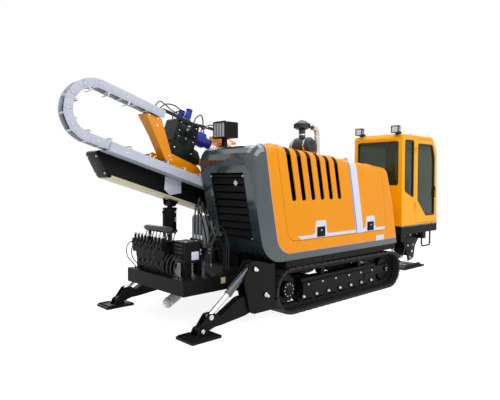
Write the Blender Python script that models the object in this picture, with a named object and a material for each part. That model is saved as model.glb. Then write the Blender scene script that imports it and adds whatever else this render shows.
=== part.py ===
# Tracked horizontal directional drill with engine hood, cab, drill frame and rear legs.
# Metres, +X towards the drilling end, +Y to the machine's left, +Z up.
# X = 0 is the middle of the tracks' contact with the ground while the pieces are made.

import math

import bmesh
import bpy
from mathutils import Matrix, Vector

# Clearances
SEAT = 0.0003
RUNNER = 0.0006
DOOR_GAP = 0.006
TRACK_ROOM = 0.010

# Tracks
TRACK_OUTER = 1.155
SHOE_WIDTH = 0.40
SHOE_PLATE = 0.018
GROUSER = 0.022
SHOE_PITCH = 0.150
LINK_HEIGHT = 0.070
LINK_WIDTH = 0.15
SPROCKET_X = -1.30
SPROCKET_REACH = 0.345
IDLER_X = 1.33
IDLER_REACH = 0.330
ROLLER_COUNT = 7
ROLLER_PITCH = 0.30
ROLLER_REAR_X = -0.98
ROLLER_RADIUS = 0.085
CARRIER_RADIUS = 0.05
CARRIER_XS = (-0.45, 0.55)
HUB_RADIUS = 0.12

# Chassis
CHASSIS_BOTTOM = 0.44
CHASSIS_TOP = 0.62
CHASSIS_HALF_WIDTH = 0.60
CHASSIS_FRONT = 0.50
PLATFORM_REAR = -2.92
PLATFORM_HALF_WIDTH = 0.72
CROSS_TUBE_XS = (-0.70, 0.70)
DECK_REAR = -1.45
DECK_FRONT = 1.475
DECK_BOTTOM = 2 * max(SPROCKET_REACH, IDLER_REACH) + TRACK_ROOM
DECK_TOP = DECK_BOTTOM + 0.0965
DECK_PLATE = 0.03

# Hood
HOOD_RIGHT = -1.155
HOOD_LEFT = -0.07
HOOD_WALL = 0.03
HOOD_BOTTOM = DECK_TOP + SEAT
HOOD_HEIGHT = 2.444
HOOD_LEAN = 0.201
HOOD_REAR_LOW_X = -1.880
HOOD_TOP_BREAK_X = -1.60
HOOD_TOP_SLOPE = math.radians(5.6)
HOOD_FRONT_X = 1.525
HOOD_FRONT_LEAN = 0.2085
HOOD_SHOULDER = 0.11
DOOR_WALL = 0.012
DOOR_BOTTOM = DECK_TOP + 0.2735
DOOR_TOP_EDGE_Y = -0.95
OVER_HOOD = HOOD_HEIGHT + 0.30
SKIRT_TOP = DECK_TOP + 0.0965
GRILLE_BOTTOM = DECK_TOP + 0.3235
GRILLE_TOP = HOOD_HEIGHT - 0.394
GRILLE_YS = (-0.99, -0.28)
HOOD_HINGE_XS = {
    'hood_door_slotted': (-1.55, -0.80, -0.25),
    'hood_door_plain': (0.16, 0.80),
}
SLOT_COUNT = 6
SLOT_PITCH = 0.215
SLOT_WIDTH = 0.094
SLOT_BOTTOM = HOOD_HEIGHT - 0.795
SLOT_LEAN = 0.207
SLOT_REAR_X = -1.279

# Cab
CAB_REAR = 1.69
CAB_FRONT = 3.09
CAB_RIGHT = -1.155
CAB_LEFT = -0.105
CAB_FLOOR = DECK_TOP + 0.1235
CAB_SHELL_BOTTOM = CAB_FLOOR + 0.17
CAB_ROOF = CAB_SHELL_BOTTOM + 1.71
CAB_WALL = 0.05
GLASS = 0.008
CAB_DOOR_AXIS = (2.193, CAB_RIGHT - 0.012)
CAB_HINGE_ZS = (CAB_SHELL_BOTTOM + 0.31, CAB_SHELL_BOTTOM + 1.39)
HINGE_RADIUS = 0.011

# Drill frame
FRAME_TILT = math.radians(17.4)
FRAME_Y = 0.38
FRAME_REAR_X = -3.62
FRAME_REAR_Z = 2.353
BEAM_LENGTH = 6.675
BEAM_HALF_WIDTH = 0.18
BEAM_HEIGHT = 0.30
FRAME_PIVOT = (0.90, 0.54)
DRILL_AXIS_W = 0.42
BORE_RADIUS = 0.075
BORE_SIDES = 8

# Drag chain, in the drill frame's own directions
CHAIN_OUTER_V = -0.395
CHAIN_INNER_V = -0.215
CHAIN_HEIGHT = 0.12
CHAIN_LOOP_U = -0.25
CHAIN_MID_RADIUS = 0.35
CHAIN_ARC_STEPS = 12
CHAIN_LOWER_END_U = 3.10
CHAIN_UPPER_END_U = 0.70
TRAY_WALL = 0.012

# Rear legs
LEG_Y = 1.05
LEG_PIVOT = (-1.86, 0.386)
LEG_BARREL_PIN = (-2.06, 0.759)
LEG_ROD_PIN = (-2.77, 0.235)
LEG_PAD_PIN = (-2.92, 0.09)

COLOURS = {
    # name: (red, green, blue, roughness, metallic)
    'yellow': (0.90, 0.42, 0.03, 0.35, 0.0),
    'slate': (0.05, 0.075, 0.085, 0.45, 0.0),
    'black': (0.012, 0.012, 0.013, 0.5, 0.0),
    'steel': (0.35, 0.36, 0.38, 0.35, 1.0),
    'track steel': (0.10, 0.09, 0.085, 0.6, 0.8),
    'pale grey': (0.75, 0.77, 0.84, 0.5, 0.0),
    'blue': (0.02, 0.03, 0.45, 0.35, 0.0),
    'glass': (0.03, 0.06, 0.05, 0.05, 0.0),
    'chrome': (0.8, 0.8, 0.8, 0.1, 1.0),
    'rubber': (0.02, 0.02, 0.02, 0.8, 0.0),
    'cloth': (0.05, 0.05, 0.06, 0.9, 0.0),
    'cream': (0.75, 0.72, 0.62, 0.5, 0.0),
}


# Outlines

def rounded(corners, steps=4):
    """Return an outline from corners (a, b, radius), with each radius as an arc."""
    outline = []
    count = len(corners)
    for index, (a, b, radius) in enumerate(corners):
        here = Vector((a, b))
        if radius == 0:
            outline.append((a, b))
            continue
        back = (Vector(corners[index - 1][:2]) - here).normalized()
        ahead = (Vector(corners[(index + 1) % count][:2]) - here).normalized()
        half = back.angle(ahead) / 2
        tangent = radius / math.tan(half)
        centre = here + (back + ahead).normalized() * radius / math.sin(half)
        first = here + back * tangent - centre
        last = here + ahead * tangent - centre
        sweep = first.angle_signed(last)
        for step in range(steps + 1):
            turn = Matrix.Rotation(-sweep * step / steps, 2)
            outline.append(tuple(centre + turn @ first))
    return outline


def grown(outline, distance):
    """Return the outline moved outwards by distance, with mitred corners."""
    count = len(outline)
    pairs = [(outline[i], outline[(i + 1) % count]) for i in range(count)]
    area = sum(p[0] * q[1] - q[0] * p[1] for p, q in pairs)
    side = 1 if area > 0 else -1
    moved = []
    for index in range(count):
        here = Vector(outline[index])
        back = (here - Vector(outline[index - 1])).normalized()
        ahead = (Vector(outline[(index + 1) % count]) - here).normalized()
        first = Vector((back.y, -back.x)) * side
        second = Vector((ahead.y, -ahead.x)) * side
        moved.append(tuple(here + (first + second) * distance / (1 + first.dot(second))))
    return moved


# Solids

def solid(shape):
    """Turn a bmesh into a linked object with its faces pointing out."""
    bmesh.ops.recalc_face_normals(shape, faces=shape.faces)
    mesh = bpy.data.meshes.new('piece')
    shape.to_mesh(mesh)
    shape.free()
    piece = bpy.data.objects.new('piece', mesh)
    bpy.context.scene.collection.objects.link(piece)
    return piece


def prism(outline, axis, low, high):
    """Extrude an outline along axis: XZ points along Y, YZ points along X, XY points along Z."""
    places = {
        'X': lambda a, b, t: (t, a, b),
        'Y': lambda a, b, t: (a, t, b),
        'Z': lambda a, b, t: (a, b, t),
    }
    place = places[axis]
    shape = bmesh.new()
    ends = [[shape.verts.new(place(a, b, t)) for a, b in outline] for t in (low, high)]
    shape.faces.new(ends[0])
    shape.faces.new(ends[1])
    count = len(outline)
    for index in range(count):
        after = (index + 1) % count
        shape.faces.new((ends[0][index], ends[0][after], ends[1][after], ends[1][index]))
    return solid(shape)


def box(x, y, z):
    """Make a block from its low and high ends along each axis."""
    return prism([(x[0], y[0]), (x[1], y[0]), (x[1], y[1]), (x[0], y[1])], 'Z', z[0], z[1])


def turned(profile, base, direction, count=16):
    """Revolve a profile of (distance along, radius) about an axis from base."""
    turn = Vector(direction).to_track_quat('Z', 'Y').to_matrix().to_4x4()
    place = Matrix.Translation(base) @ turn
    shape = bmesh.new()
    rings = []
    for along, radius in profile:
        angles = [2 * math.pi * step / count for step in range(count)]
        points = [place @ Vector((radius * math.cos(t), radius * math.sin(t), along)) for t in angles]
        rings.append([shape.verts.new(point) for point in points])
    for low, high in zip(rings, rings[1:]):
        for index in range(count):
            after = (index + 1) % count
            shape.faces.new((low[index], low[after], high[after], high[index]))
    shape.faces.new(rings[0])
    shape.faces.new(rings[-1])
    return solid(shape)


def bar(start, end, radius, count=12):
    """Make a round bar between two points."""
    run = Vector(end) - Vector(start)
    return turned([(0, radius), (run.length, radius)], start, run, count)


def tube_path(points, radius, count=8):
    """Make a round bar that follows points, with mitred joints."""
    path = [Vector(point) for point in points]
    shape = bmesh.new()
    rings = []
    side = None
    for index, here in enumerate(path):
        back = (here - path[max(index - 1, 0)]).normalized()
        ahead = (path[min(index + 1, len(path) - 1)] - here).normalized()
        along = (back + ahead).normalized()
        if side is None:
            side = along.orthogonal().normalized()
        side = (side - along * side.dot(along)).normalized()
        other = along.cross(side)
        angles = [2 * math.pi * step / count for step in range(count)]
        points = [here + (side * math.cos(t) + other * math.sin(t)) * radius for t in angles]
        rings.append([shape.verts.new(point) for point in points])
    for low, high in zip(rings, rings[1:]):
        for index in range(count):
            after = (index + 1) % count
            shape.faces.new((low[index], low[after], high[after], high[index]))
    shape.faces.new(rings[0])
    shape.faces.new(rings[-1])
    return solid(shape)


def combine(base, others, operation):
    """Apply Booleans of one kind to base, and delete the pieces that it used."""
    for other in others:
        change = base.modifiers.new(operation.lower(), 'BOOLEAN')
        change.operation = operation
        change.object = other
    viewed = base.evaluated_get(bpy.context.evaluated_depsgraph_get())
    baked = bpy.data.meshes.new_from_object(viewed)
    base.modifiers.clear()
    base.data = baked
    for other in others:
        bpy.data.objects.remove(other)
    return base


def fuse(pieces):
    """Join overlapping pieces into one solid."""
    return combine(pieces[0], pieces[1:], 'UNION')


def cut(base, cutters):
    """Take the cutters out of base."""
    return combine(base, cutters, 'DIFFERENCE')


def common(base, region):
    """Keep only what base shares with region."""
    return combine(base, [region], 'INTERSECT')


def mirrored_y(outer, inner, side):
    """Return the low and high Y of a piece on one side of the machine."""
    return (min(side * outer, side * inner), max(side * outer, side * inner))


# Bodies and materials

def body(name, matrix, parent=None):
    """Make the empty that a body's pieces are parented to, on its joint's axis."""
    empty = bpy.data.objects.new(name, None)
    bpy.context.scene.collection.objects.link(empty)
    empty.empty_display_size = 0.2
    if parent is not None:
        empty.parent = parent
        empty.matrix_parent_inverse = parent.matrix_world.inverted()
    empty.matrix_basis = matrix
    bpy.context.view_layer.update()
    return empty


def material(colour):
    """Return the material of a colour, made on its first use."""
    if colour in bpy.data.materials:
        return bpy.data.materials[colour]
    red, green, blue, roughness, metallic = COLOURS[colour]
    made = bpy.data.materials.new(colour)
    made.use_nodes = True
    shader = made.node_tree.nodes['Principled BSDF']
    shader.inputs['Base Color'].default_value = (red, green, blue, 1)
    shader.inputs['Roughness'].default_value = roughness
    shader.inputs['Metallic'].default_value = metallic
    return made


def tidy(mesh):
    """Merge the flat faces that Booleans split, so that each plane is one face again."""
    shape = bmesh.new()
    shape.from_mesh(mesh)
    bmesh.ops.dissolve_limit(shape, angle_limit=math.radians(0.05), verts=shape.verts,
                             edges=shape.edges, use_dissolve_boundaries=False)
    shape.to_mesh(mesh)
    shape.free()


def node(name, pieces, colour, parent, axes=Matrix.Identity(4)):
    """Join pieces into one named solid on a body; axes says whose directions they were made in."""
    piece = fuse(pieces) if len(pieces) > 1 else pieces[0]
    piece.name = name
    piece.data.name = name
    tidy(piece.data)
    piece.data.materials.clear()
    piece.data.materials.append(material(colour))
    piece.data.shade_smooth()
    piece.data.set_sharp_from_angle(angle=math.radians(30))
    piece.parent = parent
    piece.matrix_parent_inverse = parent.matrix_world.inverted() @ axes
    return piece


# Tracks

def belt_point(along, offset):
    """Return the point at a distance along the track's loop, moved outwards by offset."""
    rear = Vector((SPROCKET_X, SPROCKET_REACH))
    front = Vector((IDLER_X, IDLER_REACH))
    rear_radius = SPROCKET_REACH - GROUSER
    front_radius = IDLER_REACH - GROUSER
    gap = front - rear
    spread = math.acos((rear_radius - front_radius) / gap.length)
    heading = math.atan2(gap.y, gap.x)
    low = heading - spread
    high = heading + spread
    run = math.sqrt(gap.length ** 2 - (rear_radius - front_radius) ** 2)
    front_arc = front_radius * (high - low)
    if along < run:
        out = Vector((math.cos(low), math.sin(low)))
        return rear.lerp(front, along / run) + out * (
            rear_radius + (front_radius - rear_radius) * along / run + offset)
    along -= run
    if along < front_arc:
        angle = low + along / front_radius
        return front + Vector((math.cos(angle), math.sin(angle))) * (front_radius + offset)
    along -= front_arc
    if along < run:
        out = Vector((math.cos(high), math.sin(high)))
        return front.lerp(rear, along / run) + out * (
            front_radius + (rear_radius - front_radius) * along / run + offset)
    along -= run
    angle = high + along / rear_radius
    return rear + Vector((math.cos(angle), math.sin(angle))) * (rear_radius + offset)


def belt_length():
    """Return the length of the track's loop along the shoe plates."""
    rear_radius = SPROCKET_REACH - GROUSER
    front_radius = IDLER_REACH - GROUSER
    gap = math.hypot(IDLER_X - SPROCKET_X, IDLER_REACH - SPROCKET_REACH)
    spread = math.acos((rear_radius - front_radius) / gap)
    run = math.sqrt(gap ** 2 - (rear_radius - front_radius) ** 2)
    return 2 * run + 2 * spread * front_radius + 2 * (math.pi - spread) * rear_radius


def belt_top(x):
    """Return the height of the track's upper run at x, to the grousers' tips."""
    share = (x - SPROCKET_X) / (IDLER_X - SPROCKET_X)
    return 2 * (SPROCKET_REACH + (IDLER_REACH - SPROCKET_REACH) * share)


def wheel_fit(reach):
    """Return the largest wheel that turns inside the faceted link chain at an end of the loop."""
    half_turn = SHOE_PITCH / 2 / (reach - GROUSER)
    return (reach - GROUSER - SHOE_PLATE - LINK_HEIGHT) * math.cos(half_turn) - 2 * RUNNER


def make_track(name, side, parent):
    """Make one track: shoes with pads round the outside, and the link chain inside them."""
    # share of the shoe's pitch, height above the plate
    shoe_profile = ((0.03, 0.0), (0.08, GROUSER), (0.88, GROUSER), (0.93, 0.0))
    length = belt_length()
    count = round(length / SHOE_PITCH)
    pitch = length / count
    shoes = [tuple(belt_point((i + share) * pitch, height))
             for i in range(count) for share, height in shoe_profile]
    plate_inside = [tuple(belt_point(i * pitch, -SHOE_PLATE)) for i in range(count)]
    link_outside = [tuple(belt_point(i * pitch, -SHOE_PLATE / 2)) for i in range(count)]
    link_inside = [tuple(belt_point(i * pitch, -SHOE_PLATE - LINK_HEIGHT)) for i in range(count)]
    outer = side * TRACK_OUTER
    inner = side * (TRACK_OUTER - SHOE_WIDTH)
    middle = (outer + inner) / 2
    low, high = min(outer, inner), max(outer, inner)
    half = LINK_WIDTH / 2
    shoe_band = cut(prism(shoes, 'Y', low, high), [prism(plate_inside, 'Y', low - 0.1, high + 0.1)])
    link_band = cut(prism(link_outside, 'Y', middle - half, middle + half),
                    [prism(link_inside, 'Y', low, high)])
    return node(name, [shoe_band, link_band], 'track steel', parent)


def make_side_frame(name, side, parent):
    """Make a track's side frame with its rollers, sprocket, idler and final drive."""
    middle = side * (TRACK_OUTER - SHOE_WIDTH / 2)
    rail = GROUSER + SHOE_PLATE + LINK_HEIGHT

    def across(near, far):
        ends = (middle + side * near, middle + side * far)
        return (min(ends), max(ends))

    def wheel(x, z, radius, near, far, count=16):
        low, high = across(near, far)
        return bar((x, low, z), (x, high, z), radius, count)

    pieces = [box((-1.00, 1.00), across(-0.085, 0.085), (0.25, 0.46))]
    pieces.append(box((-0.98, 0.98), across(0.08, 0.11), (0.15, 0.40)))
    pieces.append(box((-1.42, -0.85), across(-0.115, -0.075), (0.22, 0.48)))
    roller_z = rail + ROLLER_RADIUS + SEAT
    for index in range(ROLLER_COUNT):
        x = ROLLER_REAR_X + index * ROLLER_PITCH
        pieces.append(wheel(x, roller_z, ROLLER_RADIUS, -0.065, 0.065, 12))
    for x in CARRIER_XS:
        z = belt_top(x) - rail - CARRIER_RADIUS - 0.002
        pieces.append(wheel(x, z, CARRIER_RADIUS, -0.06, 0.06, 8))
        pieces.append(box((x - 0.04, x + 0.04), across(-0.03, 0.03), (0.40, z)))
    sprocket_radius = wheel_fit(SPROCKET_REACH)
    teeth = []
    tooth_count = 12
    for index in range(tooth_count * 2):
        angle = math.pi * (index + 0.25) / tooth_count
        reach = sprocket_radius - (0.028 if index % 2 else 0)
        for nudge in (-0.05, 0.05):
            teeth.append((SPROCKET_X + reach * math.cos(angle + nudge),
                          SPROCKET_REACH + reach * math.sin(angle + nudge)))
    pieces.append(prism(teeth, 'Y', *across(-0.03, 0.03)))
    pieces.append(wheel(SPROCKET_X, SPROCKET_REACH, HUB_RADIUS, -0.13, 0.10))
    pieces.append(wheel(IDLER_X, IDLER_REACH, wheel_fit(IDLER_REACH), -0.05, 0.05, 16))
    pieces.append(wheel(IDLER_X, IDLER_REACH, 0.05, -0.10, 0.10))
    for near, far in ((-0.085, -0.060), (0.060, 0.085)):
        pieces.append(box((0.95, IDLER_X + 0.09), across(near, far), (0.27, 0.41)))
    return node(name, pieces, 'black', parent)


# Chassis

def make_chassis(parent):
    """Make the centre frame, deck, rear platform, leg brackets and drill frame pivot."""
    half = CHASSIS_HALF_WIDTH
    pieces = [box((-1.62, CHASSIS_FRONT), (-half, half), (CHASSIS_BOTTOM, CHASSIS_TOP))]
    pieces.append(box((PLATFORM_REAR, -1.60), (-PLATFORM_HALF_WIDTH, PLATFORM_HALF_WIDTH),
                      (CHASSIS_BOTTOM, CHASSIS_TOP + 0.02)))
    tube_reach = TRACK_OUTER - SHOE_WIDTH / 2 - 0.085 - SEAT
    for x in CROSS_TUBE_XS:
        pieces.append(box((x - 0.12, x + 0.12), (-tube_reach, tube_reach), (0.29, 0.45)))
    # right deck, a plate with a skirt round it
    pieces.append(cut(
        box((DECK_REAR, DECK_FRONT), (HOOD_RIGHT, HOOD_LEFT), (DECK_BOTTOM, DECK_TOP)),
        [box((DECK_REAR + DECK_PLATE, DECK_FRONT - DECK_PLATE),
             (HOOD_RIGHT + DECK_PLATE, HOOD_LEFT - DECK_PLATE),
             (DECK_BOTTOM - 0.1, DECK_TOP - DECK_PLATE))]))
    for x in (-1.30, -0.40, 0.40):
        pieces.append(box((x, x + 0.08), (-0.55, -0.15), (CHASSIS_TOP - 0.02, DECK_TOP - 0.01)))
    # cab carrier ahead of the deck
    carrier = (DECK_BOTTOM - 0.04, DECK_TOP - 0.005)
    pieces.append(box((0.35, 2.80), (-0.58, -0.30), carrier))
    pieces.append(box((0.35, 0.75), (-0.58, -0.30), (CHASSIS_BOTTOM + 0.06, DECK_BOTTOM)))
    for x in (1.78, 2.62):
        pieces.append(box((x, x + 0.12), (-1.10, -0.16), (DECK_TOP - 0.0165, CAB_FLOOR - SEAT)))
    # rear cross beam and leg brackets
    for side in (-1, 1):
        pieces.append(box((-2.22, -1.80), mirrored_y(LEG_Y - 0.08, 0.60, side), (0.46, 0.63)))
        front = SPROCKET_X - SPROCKET_REACH - 2 * TRACK_ROOM
        bracket = rounded([(front, 0.15, 0), (front, 0.785, 0), (-1.80, 0.80, 0), (-1.99, 0.86, 0.06),
                           (-2.13, 0.86, 0.06), (-2.24, 0.62, 0.10), (-2.14, 0.15, 0.10)], 2)
        for near, far in ((LEG_Y - 0.088, LEG_Y - 0.068), (LEG_Y + 0.068, LEG_Y + 0.088)):
            pieces.append(prism(bracket, 'Y', *mirrored_y(near, far, side)))
        pieces.append(box((front - 0.035, front - 0.012), mirrored_y(LEG_Y - 0.08, LEG_Y + 0.08, side),
                          (0.40, 0.66)))
        for x, z in (LEG_PIVOT, LEG_BARREL_PIN):
            for near, far in ((0.080, 0.108), (-0.108, -0.080)):
                low, high = mirrored_y(LEG_Y + near, LEG_Y + far, side)
                pieces.append(bar((x, low, z), (x, high, z), 0.035, 8))
    # drill frame pivot ears
    x, z = FRAME_PIVOT
    ear = rounded([(CHASSIS_FRONT - 0.05, CHASSIS_BOTTOM, 0), (x + 0.05, CHASSIS_BOTTOM, 0.04),
                   (x + 0.07, z + 0.02, 0.04), (CHASSIS_FRONT - 0.05, CHASSIS_TOP - 0.01, 0)], 4)
    for low, high in ((0.158, 0.188), (-0.188, -0.158)):
        pieces.append(prism(ear, 'Y', FRAME_Y + low, FRAME_Y + high))
    for low, high in ((0.18, 0.21), (-0.21, -0.18)):
        pieces.append(bar((x, FRAME_Y + low, z), (x, FRAME_Y + high, z), 0.04, 8))
    # foot of the lift cylinder
    for low, high in ((0.046, 0.066), (-0.066, -0.046)):
        pieces.append(prism(rounded([(-2.48, 0.60, 0), (-2.30, 0.60, 0), (-2.34, 0.80, 0.05),
                                     (-2.44, 0.80, 0.05)], 3), 'Y', FRAME_Y + low, FRAME_Y + high))
    # left fender shelf over the track, carrying the tank
    pieces.append(box((-1.45, -0.20), (0.50, 1.155), (DECK_TOP - DECK_PLATE, DECK_TOP)))
    for x in (-1.35, -0.40):
        pieces.append(box((x, x + 0.08), (0.45, 0.58), (CHASSIS_TOP - 0.02, DECK_TOP - 0.01)))
    return node('chassis', pieces, 'slate', parent)


# Hood

def hood_rear_x(z):
    """Return where the hood's leaning rear face is at a height."""
    return HOOD_REAR_LOW_X - HOOD_LEAN * (z - HOOD_BOTTOM)


def hood_top(x):
    """Return the height of the hood's sloping top at x."""
    return HOOD_HEIGHT - math.tan(HOOD_TOP_SLOPE) * (x - HOOD_TOP_BREAK_X)


def hood_outline():
    """Return the hood's side outline in X and Z."""
    front_top_x = HOOD_FRONT_X - HOOD_FRONT_LEAN * (hood_top(1.24) - HOOD_BOTTOM)
    return [
        (HOOD_REAR_LOW_X, HOOD_BOTTOM, 0.40),
        (hood_rear_x(HOOD_HEIGHT), HOOD_HEIGHT, 0.25),
        (HOOD_TOP_BREAK_X, HOOD_HEIGHT, 0),
        (front_top_x, hood_top(front_top_x), 0.15),
        (HOOD_FRONT_X, HOOD_BOTTOM, 0),
    ]


def hood_block(inset):
    """Make the hood's form as one solid, moved inwards by inset, open downwards when inset."""
    outline = grown(rounded(hood_outline(), 5), -inset) if inset else rounded(hood_outline(), 5)
    if inset:
        outline = [(x, z - 2 * inset if z < HOOD_BOTTOM + 0.05 else z) for x, z in outline]
    block = prism(outline, 'Y', HOOD_RIGHT + inset, HOOD_LEFT - inset)
    shape = bmesh.new()
    shape.from_mesh(block.data)
    right = HOOD_RIGHT + inset
    shoulder = [edge for edge in shape.edges
                if all(abs(v.co.y - right) < 1e-6 and v.co.z > HOOD_HEIGHT - 0.544 for v in edge.verts)]
    bmesh.ops.bevel(shape, geom=shoulder, offset=HOOD_SHOULDER - inset, segments=3,
                    profile=0.5, affect='EDGES')
    shape.to_mesh(block.data)
    shape.free()
    return block


def hood_skin(wall=HOOD_WALL):
    """Make the whole hood wall before it is split into its panels."""
    return cut(hood_block(0), [hood_block(wall)])


def bezel_outline():
    """Return the outline of the dark rear band and the band along the bottom."""
    return rounded([
        (-2.60, 0.50, 0), (-2.60, OVER_HOOD, 0), (-1.93, OVER_HOOD, 0), (-1.765, 1.76, 0),
        (-1.60, SKIRT_TOP, 0.30), (1.80, SKIRT_TOP, 0), (1.80, 0.50, 0),
    ], 5)


def door_outlines():
    """Return the outlines of the slotted rear door and the plain front door."""
    slope = 0.207
    top = OVER_HOOD
    middle_low = 0.249
    middle_top = middle_low - slope * (top - DOOR_BOTTOM)
    rear = rounded([(-1.40, DOOR_BOTTOM, 0.18), (-1.40 - 0.19 * (top - DOOR_BOTTOM), top, 0),
                    (middle_top, top, 0), (middle_low, DOOR_BOTTOM, 0.02)], 4)
    low = middle_low + DOOR_GAP
    front = rounded([(low, DOOR_BOTTOM, 0.02), (middle_top + DOOR_GAP, top, 0),
                     (1.17 - 0.17 * (top - DOOR_BOTTOM), top, 0), (1.17, DOOR_BOTTOM, 0.08)], 4)
    return rear, front


def hinge_line(x):
    """Return the doors' hinge point at x, just above the hood's top."""
    return Vector((x, DOOR_TOP_EDGE_Y, hood_top(x) + 0.016))


def make_hood(parent, rear_door, front_door):
    """Split the hood wall into the yellow shell, the dark bezel and the two doors."""
    outer = HOOD_RIGHT - 0.05
    along = Vector((math.cos(HOOD_TOP_SLOPE), 0, -math.sin(HOOD_TOP_SLOPE)))
    knuckle = 0.045
    rear, front = door_outlines()
    right = (outer, DOOR_TOP_EDGE_Y - DOOR_GAP)
    doors = ((rear, 'hood_door_slotted', rear_door), (front, 'hood_door_plain', front_door))
    for outline, name, owner in doors:
        panel = common(hood_skin(DOOR_WALL), prism(outline, 'Y', *right))
        if outline is rear:
            slots = []
            for index in range(SLOT_COUNT):
                x = SLOT_REAR_X + index * SLOT_PITCH
                half = SLOT_WIDTH / 2
                lean = SLOT_LEAN * (OVER_HOOD - SLOT_BOTTOM)
                slots.append(prism(rounded([
                    (x - half, SLOT_BOTTOM, 0.03), (x + half, SLOT_BOTTOM, 0.03),
                    (x + half - lean, OVER_HOOD, 0), (x - half - lean, OVER_HOOD, 0)], 2),
                    'Y', outer, -1.04))
            panel = cut(panel, slots)
        pieces = [panel]
        for x in HOOD_HINGE_XS[name]:
            middle = hinge_line(x)
            start = middle + along * (knuckle + SEAT)
            pieces.append(bar(start, start + along * knuckle, 0.013, 10))
            block = box((start.x + 0.004, start.x + knuckle - 0.004),
                        (DOOR_TOP_EDGE_Y - 0.06, DOOR_TOP_EDGE_Y - 0.003),
                        (middle.z - 0.034, middle.z - 0.002))
            pieces.append(block)
        node(name, pieces, 'yellow', owner)
    band = prism(bezel_outline(), 'Y', outer, 0.5)
    opening = box((-2.6, -1.7), GRILLE_YS, (GRILLE_BOTTOM, GRILLE_TOP))
    bezel = cut(common(hood_skin(), band), [opening])
    node('hood_bezel', [bezel], 'slate', parent)
    clear = [prism(grown(outline, DOOR_GAP), 'Y', outer, DOOR_TOP_EDGE_Y) for outline in (rear, front)]
    clear.append(prism(grown(bezel_outline(), SEAT), 'Y', outer, 0.5))
    shell = cut(hood_skin(), clear)
    pieces = [shell]
    for x in HOOD_HINGE_XS['hood_door_slotted'] + HOOD_HINGE_XS['hood_door_plain']:
        middle = hinge_line(x)
        pieces.append(box((x - 0.05, x + 0.04), (DOOR_TOP_EDGE_Y + 0.002, DOOR_TOP_EDGE_Y + 0.11),
                          (middle.z - 0.05, middle.z + 0.012)))
        pieces.append(bar(middle - along * knuckle, middle + along * knuckle, 0.013, 10))
    node('hood_shell', pieces, 'yellow', parent)


def make_grille(parent):
    """Make the louvred panel in the leaning rear face."""
    lean = Matrix.Rotation(-math.atan(HOOD_LEAN), 4, 'Y')
    low_z = GRILLE_BOTTOM + 0.004
    base = Vector((hood_rear_x(low_z), 0, low_z))
    place = Matrix.Translation(base) @ lean
    tall = GRILLE_TOP - GRILLE_BOTTOM - 0.015
    y = (GRILLE_YS[0] + SEAT, GRILLE_YS[1] - SEAT)
    rim = 0.03
    frame = cut(box((0.002, 0.03), y, (0, tall)),
                [box((-0.1, 0.1), (y[0] + rim, y[1] - rim), (rim, tall - rim))])
    pieces = [frame]
    count = 8
    pitch = (tall - 2 * rim) / count
    for index in range(count):
        z = rim + (index + 0.5) * pitch
        low, high = z - 0.42 * pitch, z + 0.33 * pitch
        slat = [(0.006, low), (0.012, low), (0.028, high), (0.022, high)]
        pieces.append(prism(slat, 'Y', y[0] + rim - 0.005, y[1] - rim + 0.005))
    return node('grille_panel', pieces, 'black', parent, place)


def make_engine(parent):
    """Make the engine as one plain block on the deck, with feet."""
    pieces = [box((-0.85, 0.45), (-0.86, -0.36), (0.95, 1.72))]
    for x in (-0.75, 0.25):
        pieces.append(box((x, x + 0.10), (-0.80, -0.42), (DECK_TOP + SEAT, 1.00)))
    return node('engine_block', pieces, 'slate', parent)


def make_air_cleaner(parent):
    """Make the air cleaner on the hood with its inlet stack and rain cap."""
    x, y = -0.51, -0.62
    top = hood_top(x)
    pieces = [turned([(0, 0.10), (0.05, 0.14), (0.34, 0.14), (0.40, 0.11)], (x + 0.02, y - 0.20, top + 0.16),
                     (0, 1, 0), 16)]
    pieces.append(box((x - 0.09, x + 0.13), (y - 0.14, y + 0.14), (hood_top(x - 0.09) + SEAT, top + 0.10)))
    pieces.append(bar((x, y, top + 0.20), (x, y, top + 0.44), 0.055, 12))
    pieces.append(turned([(0, 0.06), (0.03, 0.13), (0.10, 0.13), (0.15, 0.05)], (x, y, top + 0.42),
                         (0, 0, 1), 16))
    return node('air_cleaner', pieces, 'black', parent)


def make_exhaust(parent):
    """Make the exhaust stack with its elbow at the top."""
    x, y = -0.28, -0.74
    base = hood_top(x - 0.09) + SEAT
    pieces = [turned([(0, 0.09), (0.015, 0.09), (0.015, 0.055), (0.05, 0.055)], (x, y, base), (0, 0, 1), 12)]
    pieces.append(tube_path([(x, y, base + 0.03), (x, y, base + 0.36), (x - 0.012, y, base + 0.42),
                             (x - 0.05, y, base + 0.46), (x - 0.11, y, base + 0.48)], 0.045, 12))
    return node('exhaust_pipe', pieces, 'steel', parent)


def make_work_lamp(parent):
    """Make the work lamp on its bracket at the hood's rear left corner."""
    x, y = hood_rear_x(HOOD_HEIGHT) + 0.39, -0.23
    base = HOOD_HEIGHT + SEAT
    pieces = [box((x - 0.06, x + 0.06), (y - 0.05, y + 0.05), (base, base + 0.012))]
    pieces.append(box((x - 0.03, x + 0.03), (y - 0.03, y + 0.03), (base + 0.005, base + 0.15)))
    pieces.append(box((x - 0.10, x + 0.15), (y - 0.14, y + 0.12), (base + 0.13, base + 0.36)))
    return node('work_lamp', pieces, 'black', parent)


# Cab

def cab_outline():
    """Return the cab's side outline in X and Z."""
    return [
        (CAB_REAR, CAB_SHELL_BOTTOM, 0), (CAB_REAR, CAB_ROOF, 0.07), (CAB_FRONT - 0.23, CAB_ROOF, 0.12),
        (CAB_FRONT - 0.05, CAB_ROOF - 0.26, 0.25), (CAB_FRONT, CAB_SHELL_BOTTOM, 0),
    ]


def cab_front_x(z):
    """Return where the cab's leaning front is at a height."""
    return CAB_FRONT - 0.05 * (z - CAB_SHELL_BOTTOM) / (CAB_ROOF - 0.26 - CAB_SHELL_BOTTOM)


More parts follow.
